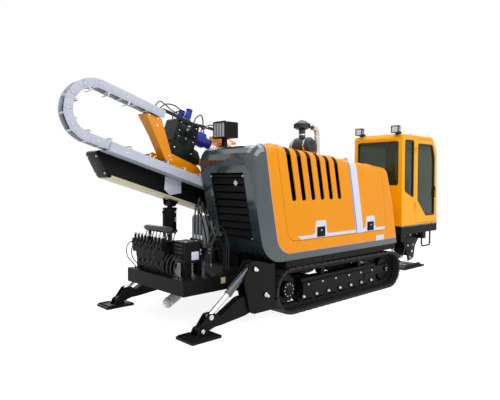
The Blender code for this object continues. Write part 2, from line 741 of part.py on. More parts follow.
def cab_block(inset):
    """Make the cab's form as one solid, moved inwards by inset, open downwards when inset."""
    outline = rounded(cab_outline(), 4)
    if inset:
        outline = [(x, z - 2 * inset if z < CAB_SHELL_BOTTOM + 0.1 else z)
                   for x, z in grown(outline, -inset)]
    return prism(outline, 'Y', CAB_RIGHT + inset, CAB_LEFT - inset)


def above_sill(corners, radius):
    """Return a rounded outline from corners whose heights are above the cab shell's bottom."""
    return rounded([(along, CAB_SHELL_BOTTOM + height, radius) for along, height in corners], 2)


def cab_windows():
    """Return each window's name, its outline, the axis it is cut along and the cut's ends."""
    right = CAB_RIGHT + 0.075
    left = CAB_LEFT - 0.075
    rear = above_sill([(right, 0.76), (left, 0.76), (left, 1.59), (right, 1.59)], 0.05)
    front = above_sill([(right, 0.13), (left, 0.13), (left, 1.51), (right, 1.51)], 0.05)
    quarter = above_sill([(1.79, 0.65), (2.13, 0.51), (2.13, 1.62), (1.79, 1.62)], 0.05)
    side = above_sill([(1.80, 0.21), (2.94, 0.21), (2.88, 1.57), (1.80, 1.57)], 0.06)
    return (
        ('glass_rear', rear, 'X', (CAB_REAR - 0.1, CAB_REAR + 0.1)),
        ('glass_front', front, 'X', (CAB_FRONT - 0.35, CAB_FRONT + 0.1)),
        ('glass_quarter', quarter, 'Y', (CAB_RIGHT - 0.1, CAB_RIGHT + 0.1)),
        ('glass_left', side, 'Y', (CAB_LEFT - 0.1, CAB_LEFT + 0.1)),
    )


# X and height above the cab shell's bottom
CAB_DOOR = [(2.20, 0.03), (2.20, 1.65), (2.90, 1.65), (3.035, 1.36), (3.05, 0.03)]
CAB_DOOR_WINDOW = [(2.28, 0.47), (2.28, 1.57), (2.87, 1.57), (2.965, 1.33), (2.98, 0.15), (2.62, 0.15)]


def make_cab(parent, door_body):
    """Make the cab's base, shell, panes and door."""
    base_top = CAB_SHELL_BOTTOM - SEAT
    tub = cut(box((CAB_REAR, CAB_FRONT), (CAB_RIGHT, CAB_LEFT), (CAB_FLOOR, base_top)),
              [box((CAB_REAR + CAB_WALL, CAB_FRONT - CAB_WALL), (CAB_RIGHT + CAB_WALL, CAB_LEFT - CAB_WALL),
                   (CAB_FLOOR + 0.05, base_top + 0.1))])
    node('cab_base', [tub], 'slate', parent)
    door = above_sill(CAB_DOOR, 0.03)
    pane = above_sill(CAB_DOOR_WINDOW, 0.05)
    across = (CAB_RIGHT - 0.1, CAB_RIGHT + 0.1)
    cutters = [prism(outline, axis, *ends) for _, outline, axis, ends in cab_windows()]
    cutters.append(prism(grown(door, DOOR_GAP), 'Y', *across))
    shell = cut(cut(cab_block(0), [cab_block(CAB_WALL)]), cutters)
    knuckle = 0.05
    axis_x, axis_y = CAB_DOOR_AXIS
    shell_pieces = [shell]
    for z in CAB_HINGE_ZS:
        shell_pieces.append(bar((axis_x, axis_y, z), (axis_x, axis_y, z + knuckle), HINGE_RADIUS, 10))
        shell_pieces.append(box((axis_x - 0.045, axis_x - 0.003), (axis_y, CAB_RIGHT + 0.005),
                                (z, z + knuckle)))
    node('cab_shell', shell_pieces, 'yellow', parent)
    for name, outline, axis, ends in cab_windows():
        sheet = cut(cab_block(0.018), [cab_block(0.018 + GLASS)])
        node(name, [common(sheet, prism(grown(outline, -SEAT), axis, *ends))], 'glass', parent)
    leaf = cut(cab_block(0), [cab_block(CAB_WALL - 0.01)])
    leaf = common(leaf, prism(door, 'Y', CAB_RIGHT - 0.1, CAB_RIGHT + CAB_WALL))
    leaf = cut(leaf, [prism(pane, 'Y', *across)])
    handle = box((2.955, 2.985), (CAB_RIGHT - 0.035, CAB_RIGHT + 0.01),
                 (CAB_SHELL_BOTTOM + 0.53, CAB_SHELL_BOTTOM + 0.66))
    door_pieces = [leaf, handle]
    for z in CAB_HINGE_ZS:
        low = z + knuckle + SEAT
        door_pieces.append(bar((axis_x, axis_y, low), (axis_x, axis_y, low + knuckle), HINGE_RADIUS, 10))
        door_pieces.append(box((axis_x, axis_x + 0.045), (axis_y, CAB_RIGHT - 0.001), (low, low + knuckle)))
        door_pieces.append(box((axis_x + 0.012, axis_x + 0.045), (axis_y, CAB_RIGHT + 0.005),
                               (low + 0.004, low + knuckle - 0.004)))
    node('cab_door', door_pieces, 'yellow', door_body)
    sheet = cut(cab_block(0.018), [cab_block(0.018 + GLASS)])
    node('glass_door', [common(sheet, prism(grown(pane, -SEAT), 'Y', *across))], 'glass', door_body)


def make_cab_fittings(parent):
    """Make the seat, console, roof lamps, handrail and step."""
    floor = CAB_FLOOR + 0.05 + SEAT
    y = (CAB_RIGHT + CAB_LEFT) / 2
    seat = [box((2.05, 2.40), (y - 0.16, y + 0.16), (floor, CAB_SHELL_BOTTOM + 0.23))]
    seat.append(prism(above_sill([(1.98, 0.21), (2.52, 0.21), (2.54, 0.35), (2.12, 0.33), (2.00, 0.96),
                                  (1.88, 0.94)], 0.04), 'Y', y - 0.24, y + 0.24))
    node('seat', seat, 'cloth', parent)
    console_top = CAB_SHELL_BOTTOM + 0.41
    console = [box((2.60, 2.86), (y - 0.30, y + 0.30), (floor, console_top))]
    for offset in (-0.22, 0.22):
        console.append(bar((2.70, y + offset, console_top - 0.02), (2.68, y + offset, console_top + 0.16),
                           0.02, 8))
    node('console', console, 'black', parent)
    for name, side_y in (('cab_lamp_right', CAB_RIGHT + 0.13), ('cab_lamp_left', CAB_LEFT - 0.13)):
        lamp = [box((CAB_REAR - 0.05, CAB_REAR + 0.03), (side_y - 0.07, side_y + 0.07),
                    (CAB_ROOF + 0.03, CAB_ROOF + 0.16))]
        lamp.append(box((CAB_REAR + 0.0, CAB_REAR + 0.16), (side_y - 0.02, side_y + 0.02),
                        (CAB_ROOF + SEAT, CAB_ROOF + 0.06)))
        node(name, lamp, 'black', parent)
    x, rail_y = 3.16, CAB_RIGHT + 0.10
    low, high = CAB_SHELL_BOTTOM + 0.13, CAB_SHELL_BOTTOM + 1.29
    tube_slant = 0.0006
    rail = tube_path([(cab_front_x(low) + SEAT + tube_slant, rail_y, low), (x - 0.02, rail_y, low),
                      (x, rail_y, low + 0.02), (x, rail_y, high - 0.03), (x - 0.03, rail_y, high),
                      (cab_front_x(high) + SEAT + tube_slant, rail_y, high)], 0.016, 8)
    node('handrail', [rail], 'yellow', parent)
    step_y = CAB_RIGHT + 0.06
    top, low = CAB_FLOOR - SEAT, CAB_FLOOR - 0.29
    step = tube_path([(2.58, step_y, top), (2.58, step_y, low + 0.04), (2.61, step_y, low),
                      (2.89, step_y, low), (2.92, step_y, low + 0.04), (2.92, step_y, top)], 0.016, 8)
    node('step_loop', [step], 'black', parent)


# Fittings on the chassis

def make_valve_bank(parent):
    """Make the valve bank on its stand at the rear: a manifold with nine sections and their spool ends."""
    top = CHASSIS_TOP + 0.02 + SEAT
    pieces = [box((-2.88, -2.62), (-0.22, 0.64), (0.90, 1.00))]
    pieces.append(box((-2.84, -2.66), (-0.12, 0.54), (0.70, 0.92)))
    for y in (-0.20, 0.56):
        pieces.append(box((-2.82, -2.70), (y, y + 0.06), (top, 0.92)))
    pieces.append(box((-2.80, -2.70), (-0.06, 0.48), (top, 0.72)))
    for index in range(9):
        y = -0.20 + index * 0.092
        pieces.append(box((-2.91, -2.66), (y, y + 0.062), (0.98, 1.10)))
        pieces.append(bar((-2.87, y + 0.031, 1.09), (-2.87, y + 0.031, 1.16), 0.020, 6))
    return node('valve_bank', pieces, 'black', parent)


def make_valve_cluster(parent):
    """Make the valve block and its terminal box in front of the grille."""
    top = CHASSIS_TOP + 0.02 + SEAT
    pieces = [box((-2.78, -2.53), (-0.56, -0.24), (0.84, 1.12))]
    pieces.append(box((-2.70, -2.60), (-0.46, -0.34), (top, 0.86)))
    pieces.append(box((-2.55, -2.32), (-0.52, -0.20), (0.90, 1.02)))
    pieces.append(box((-2.46, -2.38), (-0.40, -0.30), (top, 0.92)))
    for index in range(4):
        y = -0.47 + index * 0.075
        pieces.append(bar((-2.44, y, 1.01), (-2.44, y, 1.13), 0.025, 6))
    return node('valve_cluster', pieces, 'black', parent)


def make_canister(parent):
    """Make the inclined canister hung below the rear platform."""
    low = Vector((-2.86, -0.20, 0.235))
    high = Vector((-2.60, -0.20, 0.375))
    run = (high - low)
    can = turned([(0, 0.05), (0.02, 0.07), (run.length - 0.02, 0.07), (run.length, 0.05)], low, run, 16)
    strap = box((-2.72, -2.66), (-0.25, -0.15), (0.34, CHASSIS_BOTTOM - SEAT))
    return node('canister', [can, strap], 'pale grey', parent)


def make_tank(parent):
    """Make the hydraulic tank on the left fender shelf with its filler neck."""
    outline = rounded([(-1.42, DECK_TOP + SEAT, 0.03), (-0.30, DECK_TOP + SEAT, 0.03),
                       (-0.30, 1.22, 0.10), (-1.42, 1.38, 0.10)], 4)
    pieces = [prism(outline, 'Y', 0.66, 1.145)]
    pieces.append(bar((-1.20, 0.90, 1.30), (-1.20, 0.90, 1.42), 0.05, 10))
    return node('hydraulic_tank', pieces, 'slate', parent)


# Rear legs

def make_leg(tag, side, leg, pad, barrel, rod):
    """Make one rear leg: arm, foot pad, and its cylinder's barrel and rod."""
    def across(low, high):
        return mirrored_y(LEG_Y + low, LEG_Y + high, side)

    pad_x, pad_z = LEG_PAD_PIN
    outline = rounded([
        (LEG_PIVOT[0] + 0.055, LEG_PIVOT[1] + 0.060, 0.05), (LEG_PIVOT[0] + 0.055, LEG_PIVOT[1] - 0.12, 0.06),
        (-2.20, 0.150, 0.15), (-2.60, 0.108, 0.10), (-2.71, 0.104, 0.02), (pad_x + 0.02, pad_z - 0.042, 0.02),
        (pad_x - 0.042, pad_z - 0.042, 0.035), (pad_x - 0.042, pad_z + 0.045, 0.035), (-2.86, 0.160, 0.02),
        (-2.73, 0.165, 0.03), (-2.62, 0.225, 0.06), (-2.30, 0.40, 0.12),
    ], 2)
    arm = [prism(outline, 'Y', *across(-0.055, 0.055))]
    for (x, z), reach, radius in ((LEG_PIVOT, 0.068, 0.045), (LEG_PAD_PIN, 0.062, 0.035)):
        low, high = across(-reach + SEAT, reach - SEAT)
        arm.append(bar((x, low, z), (x, high, z), radius))
    ear = rounded([(pad_x, 0.10, 0), (-2.58, 0.13, 0), (-2.62, 0.22, 0.02),
                   (LEG_ROD_PIN[0] + 0.045, LEG_ROD_PIN[1] + 0.045, 0.04),
                   (LEG_ROD_PIN[0] - 0.05, LEG_ROD_PIN[1] + 0.045, 0.04), (pad_x - 0.02, 0.13, 0.02)], 2)
    for low, high in ((-0.055, -0.040), (0.040, 0.055)):
        arm.append(prism(ear, 'Y', *across(low, high)))
    node('leg_arm_' + tag, arm, 'slate', leg)
    plate = [box((-3.165, -2.72), mirrored_y(0.90, 1.244, side), (0.0, 0.035))]
    foot = rounded([(pad_x - 0.10, 0.02, 0), (pad_x + 0.10, 0.02, 0), (pad_x + 0.035, pad_z + 0.04, 0.03),
                    (pad_x - 0.035, pad_z + 0.04, 0.03)], 3)
    for low, high in ((-0.078, -0.062), (0.062, 0.078)):
        plate.append(prism(foot, 'Y', *across(low, high)))
    node('leg_pad_' + tag, plate, 'slate', pad)
    base = Vector((LEG_BARREL_PIN[0], side * LEG_Y, LEG_BARREL_PIN[1]))
    eye = Vector((LEG_ROD_PIN[0], side * LEG_Y, LEG_ROD_PIN[1]))
    run = (eye - base).normalized()
    bore = 0.035
    length = 0.50
    tube = turned([(0.04, 0.047), (length - 0.05, 0.047), (length - 0.05, 0.052), (length, 0.052)],
                  base, run, 14)
    barrel_pieces = [tube, bar(base - Vector((0, 0.05, 0)), base + Vector((0, 0.05, 0)), 0.05, 12)]
    reach = Vector((0, 0.068 - SEAT, 0))
    barrel_pieces.append(bar(base - reach, base + reach, 0.03))
    barrel_solid = cut(fuse(barrel_pieces), [bar(base + run * 0.07, base + run * (length + 0.05), bore, 14)])
    node('leg_barrel_' + tag, [barrel_solid], 'slate', barrel)
    rod_pieces = [bar(base + run * 0.42, eye, bore - 0.0008, 14)]
    rod_pieces.append(bar(eye - Vector((0, 0.032, 0)), eye + Vector((0, 0.032, 0)), 0.04, 12))
    node('leg_rod_' + tag, rod_pieces, 'chrome', rod)


# Drill frame, made in its own directions: u along the beam from its rear top corner, v left, w up

FRAME_AXES = (Matrix.Translation((FRAME_REAR_X, FRAME_Y, FRAME_REAR_Z))
              @ Matrix.Rotation(FRAME_TILT, 4, 'Y'))
PIVOT_UVW = FRAME_AXES.inverted() @ Vector((FRAME_PIVOT[0], FRAME_Y, FRAME_PIVOT[1]))
LIFT_TOP = FRAME_AXES.inverted() @ Vector((-2.39, FRAME_Y, 1.60))
FRONT_PIN = Vector((BEAM_LENGTH + 0.12, 0, -0.17))


def make_beam(parent):
    """Make the drill frame's beam with slanted ends and its ears."""
    half = BEAM_HALF_WIDTH
    outline = [(0, -0.03), (0.03, 0), (BEAM_LENGTH, 0), (BEAM_LENGTH, -0.20), (BEAM_LENGTH - 0.15, -BEAM_HEIGHT),
               (0.267, -BEAM_HEIGHT)]
    pieces = [prism(outline, 'Y', -half + 0.03, half - 0.03)]
    for low, high in ((-0.04, 0.0), (-BEAM_HEIGHT, -BEAM_HEIGHT + 0.03)):
        ends = (0.03, BEAM_LENGTH) if low > -0.1 else (0.267, BEAM_LENGTH - 0.15)
        pieces.append(box(ends, (-half, half), (low, high)))
    u, w = PIVOT_UVW.x, PIVOT_UVW.z
    ear = rounded([(u - 0.16, -BEAM_HEIGHT + 0.02, 0), (u + 0.16, -BEAM_HEIGHT + 0.02, 0),
                   (u + 0.045, w - 0.045, 0.04), (u - 0.045, w - 0.045, 0.04)], 3)
    for low, high in ((0.12, 0.15), (-0.15, -0.12)):
        pieces.append(prism(ear, 'Y', low, high))
    pieces.append(bar((u, -0.158 + SEAT, w), (u, 0.158 - SEAT, w), 0.038))
    u, w = LIFT_TOP.x, LIFT_TOP.z
    ear = rounded([(u - 0.10, -BEAM_HEIGHT + 0.02, 0), (u + 0.10, -BEAM_HEIGHT + 0.02, 0),
                   (u + 0.045, w - 0.045, 0.04), (u - 0.045, w - 0.045, 0.04)], 3)
    for low, high in ((0.066, 0.086), (-0.086, -0.066)):
        pieces.append(prism(ear, 'Y', low, high))
    # front fork that carries the foot plate
    u, w = FRONT_PIN.x, FRONT_PIN.z
    ear = rounded([(BEAM_LENGTH - 0.10, -0.02, 0), (u + 0.02, w + 0.05, 0.04), (u + 0.05, w - 0.05, 0.04),
                   (BEAM_LENGTH - 0.10, -0.24, 0)], 3)
    for low, high in ((0.11, 0.14), (-0.14, -0.11)):
        pieces.append(prism(ear, 'Y', low, high))
    return node('drill_beam', pieces, 'black', parent, FRAME_AXES)


def make_tray(parent):
    """Make the drag chain's tray along the beam's right side."""
    right = -0.42
    left = -BEAM_HALF_WIDTH - SEAT
    floor = -RUNNER
    wall = TRAY_WALL
    outline = [(right, 0.10), (right, floor - wall), (left, floor - wall), (left, 0.06),
               (left - wall, 0.06), (left - wall, floor), (right + wall, floor), (right + wall, 0.10)]
    return node('chain_tray', [prism(outline, 'X', 0.05, 4.75)], 'pale grey', parent, FRAME_AXES)


def chain_path(offset):
    """Return one side of the drag chain's loop, offset outwards from its middle line."""
    centre_w = CHAIN_HEIGHT / 2 + CHAIN_MID_RADIUS
    reach = CHAIN_MID_RADIUS + offset
    turns = [-math.pi / 2 - math.pi * step / CHAIN_ARC_STEPS for step in range(CHAIN_ARC_STEPS + 1)]
    arc = [(CHAIN_LOOP_U + reach * math.cos(turn), centre_w + reach * math.sin(turn)) for turn in turns]
    return [(CHAIN_LOWER_END_U, centre_w - reach)] + arc + [(CHAIN_UPPER_END_U, centre_w + reach)]


def make_drag_chain(parent):
    """Make the drag chain: two side bands joined by the hoses and separators between them."""
    half = CHAIN_HEIGHT / 2
    hoses = half - 0.035
    thick = 0.022
    bands = chain_path(half) + chain_path(-half)[::-1]
    core = chain_path(hoses) + chain_path(-hoses)[::-1]
    pieces = [prism(bands, 'Y', CHAIN_OUTER_V, CHAIN_OUTER_V + thick)]
    pieces.append(prism(bands, 'Y', CHAIN_INNER_V - thick, CHAIN_INNER_V))
    pieces.append(prism(core, 'Y', CHAIN_OUTER_V + thick / 2, CHAIN_INNER_V - thick / 2))
    return node('drag_chain', pieces, 'pale grey', parent, FRAME_AXES)


def make_vises(parent, breakout):
    """Make the fixed front vise and the turning breakout vise."""
    axis = DRILL_AXIS_W
    hole = BORE_RADIUS
    front = [box((6.12, 6.42), (-0.20, 0.20), (RUNNER, 0.66))]
    for side in (-1, 1):
        front.append(bar((6.27, side * 0.18, axis), (6.27, side * 0.30, axis), 0.085, 12))
    front_solid = cut(fuse(front), [bar((6.0, 0, axis), (6.6, 0, axis), hole, BORE_SIDES)])
    node('vise_front', [front_solid], 'black', parent, FRAME_AXES)
    cradle = prism(rounded([(-0.20, SEAT, 0), (0.20, SEAT, 0), (0.20, 0.12, 0.05), (0.13, 0.66, 0.05),
                            (-0.13, 0.66, 0.05), (-0.20, 0.12, 0.05)], 3), 'X', 5.60, 5.68)
    cradle = cut(cradle, [bar((5.5, 0, axis), (5.8, 0, axis), hole, BORE_SIDES)])
    node('vise_cradle', [cradle], 'black', parent, FRAME_AXES)
    turning = [turned([(0, 0.24), (0.24, 0.24)], (5.72, 0, axis), (1, 0, 0), 16)]
    for side in (-1, 1):
        turning.append(bar((5.84, side * 0.20, axis), (5.84, side * 0.32, axis), 0.07, 12))
    solid_turning = cut(fuse(turning), [bar((5.6, 0, axis), (6.1, 0, axis), hole, BORE_SIDES)])
    solid_turning = fuse([solid_turning, cut(
        turned([(0, 0.10), (0.44 - 2 * SEAT, 0.10)], (5.68 + SEAT, 0, axis), (1, 0, 0), 16),
        [bar((5.6, 0, axis), (6.3, 0, axis), hole, BORE_SIDES)])])
    node('vise_breakout', [solid_turning], 'slate', breakout, FRAME_AXES)


def make_foot(parent):
    """Make the front foot plate with its hinge arm, ribs and anchor holes."""
    pin = FRAME_AXES @ FRONT_PIN
    plate = box((3.02, 3.86), (-0.50, 1.24), (0.0, 0.04))
    holes = [bar((3.50, y, -0.1), (3.50, y, 0.1), 0.12, 12) for y in (-0.25, 1.0)]
    pieces = [cut(plate, holes)]
    arm = rounded([(pin.x - 0.045, pin.z - 0.045, 0.04), (3.20, 0.02, 0), (3.60, 0.02, 0),
                   (3.55, 0.09, 0.02), (3.15, 0.16, 0.05), (pin.x - 0.02, pin.z + 0.05, 0.04)], 3)
    pieces.append(prism(arm, 'Y', FRAME_Y - 0.10, FRAME_Y + 0.10))
    reach = Vector((0, 0.11 - SEAT, 0))
    pieces.append(bar(pin - reach, pin + reach, 0.042))
    for y in (-0.47, 0.03, 0.70, 1.19):
        pieces.append(prism([(3.06, 0.02), (3.80, 0.02), (3.70, 0.10), (3.14, 0.10)], 'Y', y, y + 0.02))
    return node('front_foot', pieces, 'black', parent)


def make_lift(barrel, rod):
    """Make the lift cylinder that holds the drill frame's rear up."""
    top = FRAME_AXES @ LIFT_TOP
    foot = Vector((-2.39, FRAME_Y, 0.745))
    run = (foot - top).normalized()
    bore = 0.043
    tube = turned([(0.0, 0.040), (0.066, 0.040), (0.066, 0.10), (0.43, 0.10)], top, run, 16)
    reach = Vector((0, 0.066 - SEAT, 0))
    lug = bar(top - reach, top + reach, 0.045, 16)
    made = cut(fuse([tube, lug]), [bar(top + run * 0.09, top + run * 0.5, bore, 14)])
    node('lift_barrel', [made], 'black', barrel)
    rod_pieces = [bar(top + run * 0.385, foot, bore - 0.0008, 14)]
    rod_pieces.append(bar(foot - Vector((0, 0.038, 0)), foot + Vector((0, 0.038, 0)), 0.05, 16))
    node('lift_rod', rod_pieces, 'chrome', rod)


# Carriage, in the drill frame's directions

def make_carriage(parent, spindle):
    """Make the carriage: saddle, gearbox, motors, chain arm and spindle."""
    left = BEAM_HALF_WIDTH
    saddle = [box((0.76, 1.90), (-0.165, 0.25), (RUNNER, 0.16))]
    hooked = prism([(left + RUNNER, 0.05), (0.25, 0.05), (0.25, -0.085), (left - 0.025, -0.085),
                    (left - 0.025, -0.04 - RUNNER), (left + RUNNER, -0.04 - RUNNER)], 'X', 0.80, 1.86)
    saddle.append(hooked)
    cheek = rounded([(0.80, 0.14, 0), (1.86, 0.14, 0), (1.62, 0.30, 0.08), (1.00, 0.34, 0.08)], 3)
    for low, high in ((-0.165, -0.13), (0.21, 0.25)):
        saddle.append(prism(cheek, 'Y', low, high))
    saddle.append(box((1.84, 2.20), (-0.10, 0.10), (0.05, 0.14)))
    plate = box((2.12, 2.20), (-0.16, 0.16), (0.10, 0.84))
    saddle.append(cut(plate, [bar((2.0, 0, DRILL_AXIS_W), (2.3, 0, DRILL_AXIS_W), 0.080, 12)]))
    saddle.append(box((1.92, 2.26), (-0.15, 0.15), (0.82, 0.93)))
    node('carriage_saddle', saddle, 'yellow', parent, FRAME_AXES)
    low = 0.16 + SEAT
    gearbox = [prism(rounded([(1.06, low, 0), (1.50, low, 0), (1.50, 0.92, 0.04), (1.10, 0.92, 0.05)], 3),
                     'Y', -0.125, 0.20)]
    gearbox.append(turned([(0, 0.17), (0.14, 0.15), (0.14, 0.10), (0.20, 0.10)], (1.47, 0, DRILL_AXIS_W),
                          (1, 0, 0), 16))
    node('gearbox', gearbox, 'slate', parent, FRAME_AXES)
    motor = [turned([(0, 0.10), (0.03, 0.10), (0.03, 0.11), (0.22, 0.11), (0.25, 0.08), (0.34, 0.08)],
                    (1.50 + SEAT, 0.02, 0.76), (1, 0, 0), 18)]
    motor.append(bar((1.68, 0.02, 0.84), (1.68, 0.02, 0.88), 0.032, 10))
    node('rotation_motor', motor, 'blue', parent, FRAME_AXES)
    for name, v in (('thrust_motor_right', -0.07), ('thrust_motor_left', 0.13)):
        motor = turned([(0, 0.06), (0.02, 0.06), (0.02, 0.052), (0.16, 0.052), (0.18, 0.04)],
                       (1.28, v, 0.92 + SEAT), (0, 0, 1), 16)
        node(name, [motor], 'blue', parent, FRAME_AXES)
    top = CHAIN_HEIGHT / 2 + 2 * CHAIN_MID_RADIUS - CHAIN_HEIGHT / 2 - RUNNER
    arm = [prism(rounded([(0.93, 0.17, 0.02), (1.08, 0.17, 0.02), (0.70, top, 0.02), (0.43, top, 0.02)], 2),
                 'Y', -0.34, -0.165 - SEAT)]
    arm.append(prism([(0.83, 0.36), (0.93, 0.36), (0.70, top - 0.01), (0.46, top - 0.01)], 'Y', -0.18, -0.09))
    node('chain_arm', arm, 'yellow', parent, FRAME_AXES)
    nose = turned([(0, 0.06), (0.30, 0.06), (0.30, 0.07), (0.42, 0.07), (0.50, 0.055), (0.62, 0.055),
                   (0.70, 0.045)], (1.67 + SEAT, 0, DRILL_AXIS_W), (1, 0, 0), 16)
    node('spindle', [nose], 'steel', spindle, FRAME_AXES)


def make_hoses(parent):
    """Make the hose bundle from the chain arm to the motors."""
    points = [(0.62, -0.13, 0.700), (0.66, -0.13, 0.80), (0.76, -0.14, 0.88), (0.92, -0.16, 0.89),
              (1.10, -0.16, 0.87), (1.30, -0.17, 0.87), (1.52, -0.16, 0.93), (1.64, -0.08, 0.99),
              (1.68, 0.02, 0.97), (1.68, 0.02, 0.92), (1.68, 0.02, 0.881)]
    smooth = []
    steps = 3
    for index in range(len(points) - 1):
        before = Vector(points[max(index - 1, 0)])
        here = Vector(points[index])
        after = Vector(points[index + 1])
        beyond = Vector(points[min(index + 2, len(points) - 1)])
        for step in range(steps):
            t = step / steps
            smooth.append(0.5 * ((2 * here) + (after - before) * t
                                 + (2 * before - 5 * here + 4 * after - beyond) * t * t
                                 + (3 * here - before - 3 * after + beyond) * t ** 3))
    smooth.append(Vector(points[-1]))
    return node('hose_bundle', [tube_path(smooth, 0.035, 8)], 'rubber', parent, FRAME_AXES)


def stand_on_origin(machine):
    """Move the machine so that its box is centred on the origin and stands on z = 0."""
    bpy.context.view_layer.update()
    corners = [thing.matrix_world @ vertex.co for thing in bpy.data.objects
               if thing.type == 'MESH' for vertex in thing.data.vertices]
    low = [min(corner[axis] for corner in corners) for axis in range(3)]
    high = [max(corner[axis] for corner in corners) for axis in range(3)]
    machine.location = (-(low[0] + high[0]) / 2, -(low[1] + high[1]) / 2, -low[2])
    bpy.context.view_layer.update()


def main():
    """Build every body and its pieces."""
    for thing in list(bpy.data.objects):
        bpy.data.objects.remove(thing)
    machine = body('machine', Matrix.Identity(4))
    place = Matrix.Translation
    door_lean = Matrix.Rotation(HOOD_TOP_SLOPE, 4, 'Y')
    slotted = body('hood_door_slotted_axis', place(hinge_line(-0.7)) @ door_lean, machine)
    plain = body('hood_door_plain_axis', place(hinge_line(0.6)) @ door_lean, machine)
    cab_door = body('cab_door_axis', place((*CAB_DOOR_AXIS, 1.9)), machine)
    frame = body('drill_frame_axis', place((FRAME_PIVOT[0], FRAME_Y, FRAME_PIVOT[1])), machine)
    lift_top = FRAME_AXES @ LIFT_TOP
    lift_barrel = body('lift_barrel_axis', place(lift_top), frame)
    lift_rod = body('lift_rod_axis', place(lift_top), lift_barrel)
    carriage = body('carriage_axis', FRAME_AXES, frame)
    chain = body('drag_chain_axis', FRAME_AXES, frame)
    spindle = body('spindle_axis', FRAME_AXES @ place((1.67, 0, DRILL_AXIS_W)), carriage)
    breakout = body('breakout_axis', FRAME_AXES @ place((5.72, 0, DRILL_AXIS_W)), frame)
    foot = body('front_foot_axis', place(FRAME_AXES @ FRONT_PIN), frame)

    for tag, side in (('right', -1), ('left', 1)):
        make_track('track_' + tag, side, machine)
        make_side_frame('side_frame_' + tag, side, machine)
    make_chassis(machine)
    make_hood(machine, slotted, plain)
    make_grille(machine)
    make_engine(machine)
    make_air_cleaner(machine)
    make_exhaust(machine)
    make_work_lamp(machine)
    make_cab(machine, cab_door)
    make_cab_fittings(machine)
    make_valve_bank(machine)
    make_valve_cluster(machine)
    make_canister(machine)
    make_tank(machine)
    for tag, side in (('right', -1), ('left', 1)):
        leg = body('leg_axis_' + tag, place((LEG_PIVOT[0], side * LEG_Y, LEG_PIVOT[1])), machine)
        pad = body('leg_pad_axis_' + tag, place((LEG_PAD_PIN[0], side * LEG_Y, LEG_PAD_PIN[1])), leg)
        pin = (LEG_BARREL_PIN[0], side * LEG_Y, LEG_BARREL_PIN[1])
        barrel = body('leg_barrel_axis_' + tag, place(pin), machine)
        rod = body('leg_rod_axis_' + tag, place(pin), barrel)
        make_leg(tag, side, leg, pad, barrel, rod)
    make_beam(frame)
    make_tray(frame)
    make_drag_chain(chain)
    make_vises(frame, breakout)
    make_foot(foot)
    make_lift(lift_barrel, lift_rod)
    make_carriage(carriage, spindle)
    make_hoses(carriage)
    stand_on_origin(machine)


main()
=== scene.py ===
# A tracked directional drilling rig, new and clean, standing in a white photo studio.
# The CAD frame gives every place in metres: +X to the drilling end, +Y left, +Z up.

import math

import bmesh
import bpy
from mathutils import Matrix, Vector


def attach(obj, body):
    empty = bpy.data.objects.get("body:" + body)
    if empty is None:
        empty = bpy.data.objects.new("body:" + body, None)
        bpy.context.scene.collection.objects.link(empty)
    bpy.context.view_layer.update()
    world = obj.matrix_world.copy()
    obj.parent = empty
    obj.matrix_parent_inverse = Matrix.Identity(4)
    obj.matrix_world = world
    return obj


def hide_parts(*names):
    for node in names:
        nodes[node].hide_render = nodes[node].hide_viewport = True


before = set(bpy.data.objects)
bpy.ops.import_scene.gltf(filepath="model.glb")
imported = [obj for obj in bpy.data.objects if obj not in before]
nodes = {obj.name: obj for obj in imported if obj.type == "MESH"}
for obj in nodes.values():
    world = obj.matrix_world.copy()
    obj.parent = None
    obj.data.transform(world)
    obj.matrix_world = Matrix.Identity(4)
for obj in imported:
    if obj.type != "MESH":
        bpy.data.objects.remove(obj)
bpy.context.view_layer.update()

# Studio
# A white sweep with soft boxes, as a machine is photographed for a sales sheet. The camera
# stands at the rear right corner, a little above the tracks, with a slightly wide lens.
PHOTO_WIDTH = 500
FOCAL_PIXELS = 483
SENSOR_MM = 36.0
CAMERA_PLACE = (-6.337, -5.80, 1.95)
CAMERA_HEADING = (0.681, 0.732)
CAMERA_PITCH_DOWN = math.radians(2.37)
SWEEP_SIZE = 60.0
AIR_STRENGTH = 0.42
PAPER_GLOW = 1.28
PAPER_GLOW_SHARE = 0.70


def linear(hex_colour):
    """Turn an sRGB hex colour into linear red, green, blue and alpha."""
    shares = [int(hex_colour[start:start + 2], 16) / 255 for start in (1, 3, 5)]
    return [c / 12.92 if c <= 0.04045 else ((c + 0.055) / 1.055) ** 2.4 for c in shares] + [1.0]


def add(tree, kind, links=(), **settings):
    """Add a node to a material: settings names inputs and properties, links (input, node, output)."""
    made = tree.nodes.new('ShaderNode' + kind)
    for name, value in settings.items():
        if hasattr(made, name):
            setattr(made, name, value)
            continue
        spoken = name.replace('_', ' ')
        socket = made.inputs[int(name[1:])] if name[1:].isdigit() else made.inputs[spoken]
        socket.default_value = value
    for socket, source, output in links:
        tree.links.new(source.outputs[output], made.inputs[socket])
    return made


def new_material(name):
    """Start a material with its output, its Principled shader and Object coordinates."""
    made = bpy.data.materials.new(name)
    made.use_nodes = True
    tree = made.node_tree
    shader = tree.nodes['Principled BSDF']
    place = add(tree, 'TexCoord')
    return made, tree, shader, place


def seen_rays(tree):
    """Return a node that is 1 for what the camera sees, straight, mirrored or through glass."""
    rays = add(tree, 'LightPath')
    direct = add(tree, 'Math', [(0, rays, 'Is Camera Ray'), (1, rays, 'Is Transmission Ray')],
                 operation='MAXIMUM')
    return add(tree, 'Math', [(0, direct, 0), (1, rays, 'Is Glossy Ray')], operation='MAXIMUM')


def placed(name, data):
    """Make an object of some data, at the origin, and put it in the scene."""
    made = bpy.data.objects.new(name, data)
    bpy.context.scene.collection.objects.link(made)
    return made


